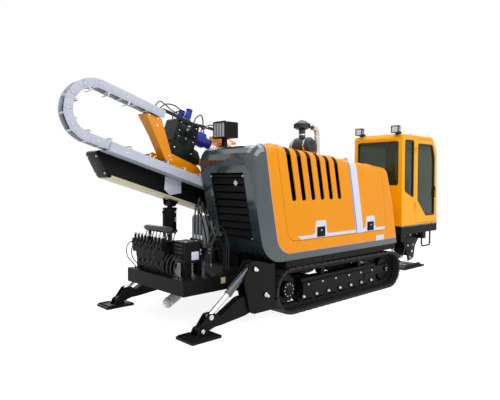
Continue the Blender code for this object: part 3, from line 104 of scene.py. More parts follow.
camera_data = bpy.data.cameras.new('camera')
camera_data.sensor_width = SENSOR_MM
camera_data.lens = FOCAL_PIXELS / PHOTO_WIDTH * SENSOR_MM
camera = placed('camera', camera_data)
looking = Vector((*(share * math.cos(CAMERA_PITCH_DOWN) for share in CAMERA_HEADING),
                  -math.sin(CAMERA_PITCH_DOWN)))
camera.location = CAMERA_PLACE
camera.rotation_euler = looking.to_track_quat('-Z', 'Y').to_euler()
bpy.context.scene.camera = camera

bpy.context.scene.view_settings.view_transform = 'Standard'
world = bpy.data.worlds.new('studio air')
world.use_nodes = True
bpy.context.scene.world = world
air = world.node_tree
soft = air.nodes['Background']
soft.inputs['Color'].default_value = linear('#F4F6FA')
soft.inputs['Strength'].default_value = AIR_STRENGTH
white = add(air, 'Background', Color=(1, 1, 1, 1), Strength=1.0)
mixed = add(air, 'MixShader', [(0, seen_rays(air), 0), (1, soft, 0), (2, white, 0)])
air.links.new(mixed.outputs[0], air.nodes['World Output'].inputs['Surface'])

# name: place, aims at, width, height, watts
SOFT_BOXES = {
    'key box': ((-4.5, -11.0, 8.0), (0.0, -0.5, 1.2), 6.0, 4.0, 430),
    'side box': ((4.5, -10.5, 6.0), (1.2, -0.6, 1.3), 6.0, 4.0, 300),
    'top box': ((0.0, 0.5, 9.0), (0.0, 0.0, 1.0), 9.0, 6.0, 470),
    'far box': ((3.0, 9.0, 6.0), (0.0, 0.5, 1.0), 8.0, 4.0, 420),
}
for name, (place, aim, width, height, watts) in SOFT_BOXES.items():
    lamp = bpy.data.lights.new(name, 'AREA')
    lamp.shape = 'RECTANGLE'
    lamp.size = width
    lamp.size_y = height
    lamp.energy = watts
    box = placed(name, lamp)
    box.location = place
    box.rotation_euler = (Vector(aim) - Vector(place)).to_track_quat('-Z', 'Y').to_euler()

ground = bmesh.new()
bmesh.ops.create_grid(ground, x_segments=1, y_segments=1, size=SWEEP_SIZE)
floor_mesh = bpy.data.meshes.new('floor')
ground.to_mesh(floor_mesh)
ground.free()
floor = placed('floor', floor_mesh)
floor.location = (0, 0, -0.001)
paper, tree, shader, _ = new_material('studio paper')
shader.inputs['Base Color'].default_value = linear('#F2F2F0')
shader.inputs['Roughness'].default_value = 0.9
# most of what the camera sees is lit paper, and the rest keeps the machine's shadow
lit_white = add(tree, 'Emission', Color=(1, 1, 1, 1), Strength=PAPER_GLOW)
share = add(tree, 'Math', [(0, seen_rays(tree), 0)], operation='MULTIPLY', i1=PAPER_GLOW_SHARE)
mixed = add(tree, 'MixShader', [(0, share, 0), (1, shader, 0), (2, lit_white, 0)])
tree.links.new(mixed.outputs[0], tree.nodes['Material Output'].inputs['Surface'])
floor_mesh.materials.append(paper)

# Tracks
# Each track is a loop of 42 forged shoes with wide rubber-faced pads, bolted to a pinned link
# chain. The pads are near black; the chain's side bars and pins are oiled forged steel.
TRACK_MIDDLE = 0.955
SHOE_COUNT = 42
WHEELS = ((-1.30, 0.345), (1.33, 0.330))
PAD_THICK = 0.022
LINK_DEPTH = 0.053
LINK_HALF_WIDTH = 0.075
BAR_THICK = 0.016
PIN_RADIUS = 0.016
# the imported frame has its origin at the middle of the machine's box, not of its tracks
FRAME_SHIFT = 0.1428
ROW = Matrix.Translation((FRAME_SHIFT, 0, 0))
SHARP = math.radians(32)


def put(shape, part, matrix):
    """Add a finished part to a shape, moved by matrix."""
    bmesh.ops.transform(part, matrix=matrix, verts=part.verts)
    carrier = bpy.data.meshes.new('carrier')
    part.to_mesh(carrier)
    part.free()
    shape.from_mesh(carrier)
    bpy.data.meshes.remove(carrier)


def turned(shape, profile, base, direction=(0, 0, 1), steps=20):
    """Turn a profile of (distance along, radius) about a line from base, and add it to a shape."""
    part = bmesh.new()
    verts = [part.verts.new((radius, 0, along)) for along, radius in profile]
    edges = [part.edges.new(pair) for pair in zip(verts, verts[1:])]
    bmesh.ops.spin(part, geom=verts + edges, cent=(0, 0, 0), axis=(0, 0, 1), angle=2 * math.pi,
                   steps=steps, use_merge=True)
    bmesh.ops.remove_doubles(part, verts=part.verts, dist=0.00002)
    turn = Vector(direction).to_track_quat('Z', 'Y').to_matrix().to_4x4()
    put(shape, part, Matrix.Translation(base) @ turn)


def settle(name, shape, body, finish, axes=ROW):
    """Turn a shape made in axes into a named piece that rides on a body."""
    bmesh.ops.transform(shape, matrix=axes, verts=shape.verts)
    bmesh.ops.recalc_face_normals(shape, faces=shape.faces)
    mesh = bpy.data.meshes.new(name)
    shape.to_mesh(mesh)
    shape.free()
    mesh.materials.append(finish)
    mesh.shade_smooth()
    mesh.set_sharp_from_angle(angle=SHARP)
    piece = placed(name, mesh)
    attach(piece, body)
    return piece


def repaint(finish, *names):
    """Give CAD nodes a finish."""
    for name in names:
        mesh = nodes[name].data
        mesh.materials.clear()
        mesh.materials.append(finish)


def moulded(name, colour, shade, roughness, grain_per_m=180.0):
    """Make a moulded plastic or rubber with a fine spark-eroded grain and a patchy sheen."""
    made, tree, shader, place = new_material(name)
    drift = add(tree, 'TexNoise', [('Vector', place, 'Object')], Scale=3.0, Detail=4.0)
    tint = add(tree, 'Mix', [('Factor', drift, 'Fac')], data_type='RGBA', i6=linear(colour),
               i7=linear(shade))
    tree.links.new(tint.outputs[2], shader.inputs['Base Color'])
    grain = add(tree, 'TexNoise', [('Vector', place, 'Object')], Scale=grain_per_m, Detail=2.0)
    bump = add(tree, 'Bump', [('Height', grain, 'Fac')], Strength=0.18, Distance=0.0015)
    tree.links.new(bump.outputs[0], shader.inputs['Normal'])
    rough = add(tree, 'MapRange', [('Value', drift, 'Fac')], To_Min=roughness - 0.06,
                To_Max=roughness + 0.06)
    tree.links.new(rough.outputs[0], shader.inputs['Roughness'])
    return made


def bare_metal(name, colour, roughness, grain_per_m):
    """Make a bare metal with fine working marks and a patchy sheen."""
    made, tree, shader, place = new_material(name)
    shader.inputs['Base Color'].default_value = linear(colour)
    shader.inputs['Metallic'].default_value = 1.0
    marks = add(tree, 'TexNoise', [('Vector', place, 'Object')], Scale=grain_per_m, Detail=6.0)
    rough = add(tree, 'MapRange', [('Value', marks, 'Fac')], To_Min=roughness - 0.08,
                To_Max=roughness + 0.12)
    tree.links.new(rough.outputs[0], shader.inputs['Roughness'])
    bump = add(tree, 'Bump', [('Height', marks, 'Fac')], Strength=0.06, Distance=0.001)
    tree.links.new(bump.outputs[0], shader.inputs['Normal'])
    return made


def loop_point(share, inward):
    """Return the point and heading at a share of the track's loop, moved inwards from the pads' plates."""
    rear, front = (Vector(wheel) for wheel in WHEELS)
    radii = [wheel.y - PAD_THICK for wheel in (rear, front)]
    gap = front - rear
    spread = math.acos((radii[0] - radii[1]) / gap.length)
    heading = math.atan2(gap.y, gap.x)
    run = math.sqrt(gap.length ** 2 - (radii[0] - radii[1]) ** 2)
    arcs = (2 * radii[1] * spread, 2 * radii[0] * (math.pi - spread))
    along = share * (2 * run + sum(arcs))
    if along < run:
        out, centre = heading - spread, rear.lerp(front, along / run)
        radius = radii[0] + (radii[1] - radii[0]) * along / run
    elif along < run + arcs[0]:
        out, centre, radius = heading - spread + (along - run) / radii[1], front, radii[1]
    elif along < 2 * run + arcs[0]:
        part = (along - run - arcs[0]) / run
        out, centre = heading + spread, front.lerp(rear, part)
        radius = radii[1] + (radii[0] - radii[1]) * part
    else:
        out = heading + spread + (along - 2 * run - arcs[0]) / radii[0]
        centre, radius = rear, radii[0]
    return centre + Vector((math.cos(out), math.sin(out))) * (radius - inward), out + math.pi / 2


# vulcanised rubber pads on painted shoes: near black, dull, with a slightly dusty face
track_black = moulded('track pad rubber', '#0E0E0D', '#151413', 0.78, 90.0)
# drop-forged and oiled steel: dark, with a low broken sheen
forged_steel = bare_metal('forged oiled steel', '#2A2826', 0.55, 35.0)
for tag, side in (('right', -1), ('left', 1)):
    repaint(track_black, 'track_' + tag)
    links = bmesh.new()
    for index in range(SHOE_COUNT):
        ends = [loop_point((index + step) / SHOE_COUNT, LINK_DEPTH)[0] for step in (0, 1)]
        run = ends[1] - ends[0]
        turn = Matrix.Rotation(-math.atan2(run.y, run.x), 4, 'Y')
        for across in (-LINK_HALF_WIDTH - BAR_THICK, LINK_HALF_WIDTH):
            y = side * TRACK_MIDDLE + across
            bar = bmesh.new()
            bmesh.ops.create_cube(bar, size=1.0)
            bmesh.ops.scale(bar, vec=(run.length * 0.94, BAR_THICK, 0.046), verts=bar.verts)
            upright = [edge for edge in bar.edges if abs(edge.verts[0].co.y - edge.verts[1].co.y) > 0.01]
            bmesh.ops.bevel(bar, geom=upright, offset=0.014, segments=2, profile=0.5,
                            affect='EDGES', material=-1)
            middle = (ends[0] + ends[1]) / 2
            put(links, bar, Matrix.Translation((middle.x, y + BAR_THICK / 2, middle.y)) @ turn)
        reach = LINK_HALF_WIDTH + BAR_THICK + 0.004
        turned(links, [(0, 0), (0, PIN_RADIUS), (2 * reach, PIN_RADIUS), (2 * reach, 0)],
               (ends[0].x, side * TRACK_MIDDLE - reach, ends[0].y), (0, 1, 0), 8)
    settle('track_links_' + tag, links, 'machine', forged_steel)

# Track frames
# Each welded box frame carries seven sealed rollers, whose shafts end in caps with a bright
# bolt, a bolted sprocket hub and an idler. All of it is sprayed satin black.
ROLLER_XS = [-0.98 + 0.30 * index for index in range(7)]
ROLLER_Z = 0.197
FRAME_BOLT_XS = (-0.86, -0.52, -0.18, 0.18, 0.52, 0.86)
FRAME_BOLT_Z = 0.365
CAP_FACE_Y = 1.065
HUB_Y = 1.055
SPROCKET, IDLER = WHEELS


def block(shape, low, high, soften=0.004, segments=1, matrix=Matrix.Identity(4)):
    """Add a block between two corners to a shape, with its edges softened, moved by matrix."""
    part = bmesh.new()
    bmesh.ops.create_cube(part, size=1.0)
    bmesh.ops.scale(part, vec=Vector(high) - Vector(low), verts=part.verts)
    bmesh.ops.bevel(part, geom=part.edges, offset=soften, segments=segments, profile=0.5,
                    affect='EDGES', material=-1)
    put(shape, part, matrix @ Matrix.Translation((Vector(low) + Vector(high)) / 2))


def bolt(shape, place, direction, across=0.024):
    """Add a hexagon bolt head on its washer."""
    half = across / 2
    turned(shape, [(0, 0), (0, half * 1.35), (0.003, half * 1.35), (0.003, half * 0.8)], place,
           direction, 12)
    turned(shape, [(0.003, half * 1.1), (half * 1.1, half * 1.1), (half * 1.3, half * 0.85),
                   (half * 1.3, 0)], place, direction, 6)


def circle(count, radius, first=0.0):
    """Return pairs of offsets spaced evenly round a circle; first is a share of one space."""
    angles = [2 * math.pi * (step + first) / count for step in range(count)]
    return [(radius * math.cos(angle), radius * math.sin(angle)) for angle in angles]


def enamel(name, colour, shade, roughness, coat, peel_mm=0.4, shine=0.12):
    """Make a sprayed enamel: a colour that drifts slightly, a gloss coat and orange peel."""
    made, tree, shader, place = new_material(name)
    drift = add(tree, 'TexNoise', [('Vector', place, 'Object')], Scale=1.3, Detail=3.0)
    tint = add(tree, 'Mix', [('Factor', drift, 'Fac')], data_type='RGBA', i6=linear(colour),
               i7=linear(shade))
    tree.links.new(tint.outputs[2], shader.inputs['Base Color'])
    film = add(tree, 'TexNoise', [('Vector', place, 'Object')], Scale=6.0, Detail=5.0)
    rough = add(tree, 'MapRange', [('Value', film, 'Fac')], To_Min=roughness - 0.05,
                To_Max=roughness + 0.07)
    tree.links.new(rough.outputs[0], shader.inputs['Roughness'])
    # real orange peel is 2 to 4 mm across, drawn at about 20 mm so that it shows
    grain = add(tree, 'TexNoise', [('Vector', place, 'Object')], Scale=45.0, Detail=2.0)
    bump = add(tree, 'Bump', [('Height', grain, 'Fac')], Strength=0.10, Distance=peel_mm / 1000)
    tree.links.new(bump.outputs[0], shader.inputs['Normal'])
    shader.inputs['Coat Weight'].default_value = coat
    shader.inputs['Coat Roughness'].default_value = 0.08
    # paint is usually at 0.5; it is lower here, because in this even light a haze greyed the paint
    shader.inputs['Specular IOR Level'].default_value = shine
    return made


# satin two-pack enamel over primer: dark with soft highlights on its edges
black_enamel = enamel('black enamel', '#0F1011', '#0B0C0D', 0.46, 0.0)
# electroplated zinc: pale, slightly blue, and bright where it is turned
zinc_plate = bare_metal('zinc plated steel', '#D3D6DA', 0.28, 60.0)
for tag, side in (('right', -1), ('left', 1)):
    repaint(black_enamel, 'side_frame_' + tag)
    caps = bmesh.new()
    bright = bmesh.new()
    out = (0, side, 0)
    face = side * CAP_FACE_Y
    for x in ROLLER_XS:
        turned(caps, [(-0.004, 0), (-0.004, 0.046), (0.008, 0.046), (0.012, 0.040), (0.012, 0)],
               (x, face, ROLLER_Z), out, 16)
        bolt(bright, (x, face + side * 0.012, ROLLER_Z), out, 0.034)
    for x in FRAME_BOLT_XS:
        bolt(bright, (x, face, FRAME_BOLT_Z), out, 0.022)
    # sprocket hub cover and idler shaft cap
    turned(caps, [(-0.004, 0), (-0.004, 0.112), (0.010, 0.112), (0.026, 0.060), (0.034, 0.050),
                  (0.034, 0)], (SPROCKET[0], side * HUB_Y, SPROCKET[1]), out, 28)
    turned(caps, [(-0.004, 0), (-0.004, 0.048), (0.012, 0.044), (0.012, 0)],
           (IDLER[0], side * HUB_Y, IDLER[1]), out, 20)
    for a, b in circle(10, 0.088):
        bolt(bright, (SPROCKET[0] + a, side * 1.060, SPROCKET[1] + b), out, 0.020)
    for a, b in circle(3, 0.028, 0.25):
        bolt(bright, (IDLER[0] + a, side * 1.066, IDLER[1] + b), out, 0.014)
    # cover over the track tensioner
    block(caps, (0.62, min(face, face + side * 0.012), 0.23), (0.84, max(face, face + side * 0.012), 0.33))
    settle('roller_caps_' + tag, caps, 'machine', black_enamel)
    settle('roller_bolts_' + tag, bright, 'machine', zinc_plate)

# Chassis and decks
# The centre frame, decks and rear platform are folded and welded plate in satin black. The
# walked-on tops are laid with chequer plate, screwed down along their edges.
DECK_TOP = 0.7965
PLATFORM_TOP = 0.6403
TREAD_PITCH = 0.05
BRACKET_BOLTS = ((-2.014, 0.740), (-1.804, 0.353))


def chequer(shape, low, high, z):
    """Add a sheet of chequer plate: a thin plate and rows of raised lozenges turned each way."""
    block(shape, (low[0], low[1], z), (high[0], high[1], z + 0.003), 0.001)
    columns = int((high[0] - low[0]) / TREAD_PITCH)
    rows = int((high[1] - low[1]) / TREAD_PITCH)
    for column in range(columns):
        for row in range(rows):
            bar = bmesh.new()
            bmesh.ops.create_cone(bar, cap_ends=True, segments=4, radius1=0.020, radius2=0.015, depth=0.003)
            bmesh.ops.scale(bar, vec=(1.0, 0.28, 1.0), verts=bar.verts)
            turn = Matrix.Rotation(math.radians(45 if (column + row) % 2 else -45), 4, 'Z')
            place = (low[0] + (column + 0.5) * TREAD_PITCH, low[1] + (row + 0.5) * TREAD_PITCH, z + 0.0040)
            put(shape, bar, Matrix.Translation(place) @ turn)


# olive-black primer enamel on the chassis plates: darker and duller than the drill frame
chassis_enamel = enamel('chassis enamel', '#141410', '#0F100E', 0.52, 0.0)
repaint(chassis_enamel, 'chassis')
treads = bmesh.new()
chequer(treads, (-2.90, -0.70), (-2.06, -0.02), PLATFORM_TOP)
chequer(treads, (-2.90, 0.08), (-2.52, 0.70), PLATFORM_TOP)
chequer(treads, (-0.28, 0.52), (-0.21, 1.14), DECK_TOP + 0.0003)
settle('chequer_plates', treads, 'machine', black_enamel)
edge = bmesh.new()
for index in range(12):
    bolt(edge, (-1.36 + index * 0.245, -1.155, 0.748), (0, -1, 0), 0.016)
for index in range(6):
    bolt(edge, (-1.38 + index * 0.22, 1.155, 0.781), (0, 1, 0), 0.014)
block(edge, (-1.615, -0.72, 0.641), (-1.603, 0.60, 0.86), 0.003)
for index in range(5):
    y = -0.62 + index * 0.28
    block(edge, (-1.650, y - 0.005, 0.641), (-1.610, y + 0.005, 0.82), 0.003)
settle('deck_edges', edge, 'machine', chassis_enamel)
skirt = bmesh.new()
for side in (-1, 1):
    for x, z in BRACKET_BOLTS:
        bolt(skirt, (x, side * 1.138, z), (0, side, 0), 0.034)
settle('chassis_bolts', skirt, 'machine', zinc_plate)

# Radiator and engine
# Behind the grille stands a black finned core with its fan in a ring, and ahead of it the
# engine, cast and machined, sprayed dark grey, with its cover, pipes and filters bolted on.
HOOD_RIGHT = -1.155
HOOD_HEIGHT = 2.444
GRILLE_LEAN = math.atan(0.201)
GRILLE_TALL = 0.915
GRILLE_YS = (-0.99, -0.28)
GRILLE = ROW @ Matrix.Translation((-1.9458, 0, 1.124)) @ Matrix.Rotation(-GRILLE_LEAN, 4, 'Y')
FAN = (-1.56, -0.62, 1.46)
FAN_RADIUS = 0.33
OIL_FILTER_XS = (-0.60, -0.42)


def hoop(shape, start, end, inner, outer, base, direction=(0, 0, 1), steps=24):
    """Add a hoop of square section about a line from base, between two distances along it."""
    turned(shape, [(start, inner), (start, outer), (end, outer), (end, inner), (start, inner)], base,
           direction, steps)


def between(shape, start, end, radius, steps=12):
    """Add a round bar with softened ends between two points."""
    run = Vector(end) - Vector(start)
    soft_end = min(0.004, radius / 3)
    turned(shape, [(0, 0), (0, radius - soft_end), (soft_end, radius), (run.length - soft_end, radius),
                   (run.length, radius - soft_end), (run.length, 0)], start, run, steps)


engine_enamel = enamel('engine enamel', '#2C3336', '#252B2E', 0.46, 0.1)
repaint(engine_enamel, 'engine_block')
core = bmesh.new()
for z in (0.0, GRILLE_TALL - 0.05):
    block(core, (0.07, -0.985, z), (0.19, -0.285, z + 0.05), 0.006)
for index in range(56):
    y = -0.97 + index * 0.0122
    block(core, (0.09, y, 0.05), (0.16, y + 0.003, GRILLE_TALL - 0.05), 0.0006)
for index in range(14):
    z = 0.08 + index * 0.058
    block(core, (0.105, -0.975, z), (0.125, -0.295, z + 0.010), 0.002)
settle('radiator_core', core, 'machine', black_enamel, GRILLE)
fan = bmesh.new()
hoop(fan, -0.05, 0.05, FAN_RADIUS, FAN_RADIUS + 0.012, FAN, (1, 0, 0), 36)
turned(fan, [(-0.03, 0), (-0.03, 0.06), (0.03, 0.07), (0.10, 0.05), (0.10, 0)], FAN, (1, 0, 0), 20)
for step in range(7):
    blade = bmesh.new()
    bmesh.ops.create_cube(blade, size=1.0)
    bmesh.ops.scale(blade, vec=(0.006, 0.11, 0.25), verts=blade.verts)
    bmesh.ops.bevel(blade, geom=blade.edges, offset=0.002, segments=1, profile=0.5, affect='EDGES',
                    material=-1)
    spread = Matrix.Rotation(2 * math.pi * step / 7, 4, 'X') @ Matrix.Translation((0, 0, 0.18))
    put(fan, blade, Matrix.Translation(FAN) @ spread @ Matrix.Rotation(math.radians(32), 4, 'Z'))
for z in (-0.24, 0.24):
    block(fan, (FAN[0] - 0.02, -1.00, FAN[2] + z - 0.02), (FAN[0] + 0.02, -0.24, FAN[2] + z + 0.02), 0.003)
settle('cooling_fan', fan, 'machine', black_enamel)
dressing = bmesh.new()
block(dressing, (-0.78, -0.70, 1.715), (0.38, -0.50, 1.80), 0.02, 3)
for index in range(6):
    x = -0.70 + index * 0.20
    block(dressing, (x, -0.715, 1.74), (x + 0.012, -0.485, 1.81), 0.003)
    between(dressing, (x, -0.86, 1.55), (x, -0.94, 1.48), 0.028)
    bolt(dressing, (x + 0.06, -0.60, 1.80), (0, 0, 1), 0.026)
between(dressing, (-0.76, -0.95, 1.47), (0.36, -0.95, 1.47), 0.036, 16)
for x in OIL_FILTER_XS:
    between(dressing, (x, -0.90, 1.10), (x, -0.90, 1.34), 0.055, 20)
turned(dressing, [(0, 0), (0, 0.075), (0.02, 0.085), (0.13, 0.085), (0.15, 0.06), (0.15, 0)],
       (-0.10, -1.00, 1.22), (0, 1, 0), 24)
turned(dressing, [(0, 0), (0, 0.12), (0.02, 0.12), (0.02, 0.09), (0.05, 0.09), (0.05, 0)],
       (-0.92, -0.61, 1.20), (1, 0, 0), 28)
settle('engine_dressing', dressing, 'machine', engine_enamel)

# Hood
# The hood is folded sheet steel, sprayed glossy yellow, with a slate band round its rear and
# foot. White film with a blue line is stuck on it, and its two doors close with black latches.
STRIPE_LEAN = 0.207
FILM_THICK = 0.0012
TOP_SLOPE = math.tan(math.radians(5.6))
SHOULDER = 0.11
# body, latch's middle, trim's rear end, trim's front end
DOOR_TRIMS = (
    ('slotted_door', -0.675, -1.215, 0.236),
    ('plain_door', 0.663, 0.272, 1.118),
)
TRIM_LOW, TRIM_HIGH, TAB_HIGH = 1.078, 1.128, 1.335
LATCH_ZS = ((1.108, 1.146), (1.152, 1.222))
# where the foot band turns up into the rear band
BAND_X, BAND_Z, BAND_RADIUS = -1.3517, 0.893, 0.30
BEACON = (0.62, -0.66)


def plate(shape, outline, thick, matrix, corner=0.0, soften=0.0):
    """Add a plate cut to an outline, from z = 0 to thick before matrix, with rounded corners."""
    part = bmesh.new()
    face = part.faces.new([part.verts.new((a, b, 0)) for a, b in outline])
    if corner:
        bmesh.ops.bevel(part, geom=part.verts, offset=corner, segments=4, profile=0.5,
                        affect='VERTICES', material=-1)
        face = part.faces[:][0]
    raised = bmesh.ops.extrude_face_region(part, geom=[face], use_keep_orig=True)
    top = [item for item in raised['geom'] if isinstance(item, bmesh.types.BMVert)]
    bmesh.ops.translate(part, vec=(0, 0, thick), verts=top)
    bmesh.ops.recalc_face_normals(part, faces=part.faces)
    if soften:
        rim = [edge for edge in part.edges if all(vert.co.z > thick / 2 for vert in edge.verts)]
        bmesh.ops.bevel(part, geom=rim, offset=soften, segments=2, profile=0.5, affect='EDGES',
                        material=-1)
    put(shape, part, matrix)


def facing_right(y):
    """Return the matrix that stands a plate upright at y, facing the machine's right."""
    return Matrix.Translation((0, y, 0)) @ Matrix.Rotation(math.pi / 2, 4, 'X')


def oblong(low, high):
    """Return the outline of a rectangle between two corners."""
    return [low, (high[0], low[1]), high, (low[0], high[1])]


def wire(name, route, radius, finish):
    """Lay a round wire with closed ends along a route of places in the machine's frame."""
    line = bpy.data.curves.new(name, 'CURVE')
    line.dimensions = '3D'
    line.bevel_depth = radius
    line.use_fill_caps = True
    run = line.splines.new('POLY')
    run.points.add(len(route) - 1)
    for point, spot in zip(run.points, route):
        point.co = (*spot, 1)
    line.materials.append(finish)
    return placed(name, line)


def film(name, source, planes, highest_y, body, finish):
    """Copy a node's outer skin between planes, as a thin film stuck on it."""
    skin = bmesh.new()
    skin.from_mesh(nodes[source].data)
    bmesh.ops.remove_doubles(skin, verts=skin.verts, dist=0.00005)
    for point, normal in planes:
        bmesh.ops.bisect_plane(skin, geom=skin.verts[:] + skin.edges[:] + skin.faces[:],
                               plane_co=point, plane_no=normal, clear_outer=True)
    skin.normal_update()
    away = []
    for face in skin.faces:
        middle = face.calc_center_median()
        over_top = middle.z > hood_top(middle.x - FRAME_SHIFT) + 0.003
        outward = face.normal.y < -0.2 or face.normal.z > 0.2
        fitting = face.normal.y < -0.5 and middle.y > HOOD_RIGHT + SHOULDER + 0.02
        if over_top or fitting or not outward or middle.y > highest_y or abs(face.normal.x) > 0.5:
            away.append(face)
    bmesh.ops.delete(skin, geom=away, context='FACES')
    skin.normal_update()
    for vert in skin.verts:
        vert.co += vert.normal * (FILM_THICK + 0.0003)
    bmesh.ops.solidify(skin, geom=skin.faces[:], thickness=FILM_THICK)
    settle(name, skin, body, finish, Matrix.Identity(4))


def hood_top(x):
    """Return the height of the hood's sloping top at x."""
    return HOOD_HEIGHT - TOP_SLOPE * max(0.0, x + 1.60)


def leaning(x_low, side):
    """Return the plane that leans back from x at the doors' foot; side says which part goes."""
    return ((x_low + FRAME_SHIFT, 0, 1.07), (side, 0, side * STRIPE_LEAN))


SIDE = facing_right(HOOD_RIGHT)
# glossy two-pack enamel: a warm deep yellow with clear soft reflections
yellow_enamel = enamel('yellow enamel', '#F59C00', '#F09500', 0.34, 0.2)
# the same paint in slate under a full clear coat, so glossier, on the rear and foot bands
slate_enamel = enamel('slate enamel', '#2B3B40', '#26363B', 0.26, 1.0, 0.08, 0.4)
# cast vinyl film: an even, slightly blue white with a soft gloss
white_film = moulded('white vinyl film', '#DDE0F2', '#D6D9EC', 0.34, 120.0)
blue_film = moulded('blue vinyl film', '#2E86E8', '#2A7EDD', 0.34, 120.0)
repaint(yellow_enamel, 'hood_shell', 'hood_door_slotted', 'hood_door_plain')
repaint(slate_enamel, 'hood_bezel')
repaint(black_enamel, 'grille_panel')
# name, rear end, front end, finish
FILMS = (
    ('edge', 0.257, 0.264, white_film),
    ('line', 0.264, 0.290, blue_film),
    ('stripe', 0.290, 0.462, white_film),
)
for name, start, end, finish in FILMS:
    cuts = [leaning(start, -1), leaning(end, 1)]
    film('hood_' + name, 'hood_door_plain', cuts, -0.96, 'plain_door', finish)
    film('hood_top_' + name, 'hood_shell', cuts + [((0, 0, 2.0), (0, 0, -1))], 0.0, 'machine', finish)
for body, latch_x, rear_x, front_x in DOOR_TRIMS:
    trim = bmesh.new()
    rear_cut = 0.09 if body == 'slotted_door' else 0.0
    tab = [(latch_x + 0.19, TRIM_HIGH), (latch_x + 0.145, TRIM_HIGH + 0.03), (latch_x + 0.118, TAB_HIGH),
           (latch_x - 0.118, TAB_HIGH), (latch_x - 0.145, TRIM_HIGH + 0.03), (latch_x - 0.19, TRIM_HIGH)]
    plate(trim, [(rear_x + rear_cut, TRIM_LOW), (front_x, TRIM_LOW), (front_x, TRIM_HIGH), *tab,
                 (rear_x, TRIM_HIGH)], 0.002, SIDE, 0.0, 0.0008)
    settle('door_trim_' + body, trim, body, white_film)
    latch = bmesh.new()
    plate(latch, oblong((latch_x - 0.095, 1.088), (latch_x + 0.095, 1.240)), 0.007,
          SIDE @ Matrix.Translation((0, 0, 0.002)), 0.008, 0.002)
    for low, high in LATCH_ZS:
        block(latch, (latch_x - 0.075, HOOD_RIGHT - 0.013, low), (latch_x + 0.075, HOOD_RIGHT - 0.008, high),
              0.002)
    settle('latch_' + body, latch, body, black_enamel)
    key = bmesh.new()
    turned(key, [(0, 0), (0, 0.013), (0.004, 0.011), (0.004, 0)], (latch_x, HOOD_RIGHT - 0.012, 1.186),
           (0, -1, 0), 14)
    settle('latch_key_' + body, key, body, zinc_plate)

# blank rating plate, thin blue bead between the two paints, and a beacon on top
blank = bmesh.new()
plate(blank, oblong((0.845, 0.894), (1.095, 0.985)), 0.002, SIDE, 0.006, 0.0006)
settle('blank_plate', blank, 'machine', white_film)
shoulder_steps = [math.pi / 2 * step / 6 for step in range(7)]
route = [(1.515, HOOD_RIGHT, BAND_Z), (BAND_X, HOOD_RIGHT, BAND_Z)]
route += [(BAND_X - BAND_RADIUS * math.sin(a), HOOD_RIGHT, BAND_Z + BAND_RADIUS * (1 - math.cos(a)))
          for a in [math.radians(79.2) * step / 10 for step in range(1, 11)]]
route += [(-1.765, HOOD_RIGHT, 1.76), (-1.861, HOOD_RIGHT, 2.334)]
route += [(-1.861 - 0.003 * step, HOOD_RIGHT + SHOULDER * (1 - math.cos(a)),
           2.334 + SHOULDER * math.sin(a)) for step, a in enumerate(shoulder_steps)]
route += [(-1.8797, -0.09, HOOD_HEIGHT)]
bead = wire('hood_bead', [ROW @ Vector(place) for place in route], 0.0035, blue_film)
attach(bead, 'machine')

# grille screws and its small blank badge
screws = bmesh.new()
for y in (GRILLE_YS[0] + 0.016, GRILLE_YS[1] - 0.016):
    for z in (0.016, GRILLE_TALL - 0.016):
        bolt(screws, (0.002, y, z), (-1, 0, 0), 0.020)
settle('grille_screws', screws, 'machine', zinc_plate, GRILLE)
badge = bmesh.new()
turn = Matrix.Translation((0.010, -0.80, 0.80)) @ Matrix.Rotation(-math.pi / 2, 4, 'Y')
plate(badge, [(0, -0.042), (0.042, 0), (0, 0.042), (-0.042, 0)], 0.012, turn, 0.003, 0.001)
settle('grille_badge', badge, 'machine', white_film, GRILLE)

# black perforated liner behind the door's slots, following the shoulder inside the sheet
LINER_ENDS = (-1.56, -0.115)
LINER_INSET = 0.018
liner_metal, tree, shader, place = new_material('perforated sheet')
shader.inputs['Base Color'].default_value = linear('#101112')
shader.inputs['Roughness'].default_value = 0.55
# punched holes at a real 8 mm pitch, drawn at about 12 mm so that they show
holes = add(tree, 'TexVoronoi', [('Vector', place, 'Object')], Scale=85.0)
dark = add(tree, 'MapRange', [('Value', holes, 'Distance')], From_Min=0.25, From_Max=0.35)
bump = add(tree, 'Bump', [('Height', dark, 0)], Strength=0.6, Distance=0.002)
tree.links.new(bump.outputs[0], shader.inputs['Normal'])
liner = bmesh.new()
bend = SHOULDER - LINER_INSET
liner_top = hood_top(LINER_ENDS[0])
section = [(HOOD_RIGHT + LINER_INSET, 1.60), (HOOD_RIGHT + LINER_INSET, liner_top - SHOULDER)]
section += [(HOOD_RIGHT + SHOULDER - bend * math.cos(a), liner_top - SHOULDER + bend * math.sin(a))
            for a in [math.pi / 2 * step / 5 for step in range(1, 6)]]
section += [(-0.985, liner_top - LINER_INSET)]
verts = [liner.verts.new((LINER_ENDS[0], y, z)) for y, z in section]
edges = [liner.edges.new(pair) for pair in zip(verts, verts[1:])]
drawn = bmesh.ops.extrude_edge_only(liner, edges=edges)
for vert in drawn['geom']:
    if isinstance(vert, bmesh.types.BMVert):
        vert.co.x = LINER_ENDS[1]
        vert.co.z += 0 if vert.co.z < 1.7 else hood_top(LINER_ENDS[1]) - liner_top
bmesh.ops.solidify(liner, geom=liner.faces[:], thickness=0.0015)
settle('slot_liner', liner, 'slotted_door', liner_metal)

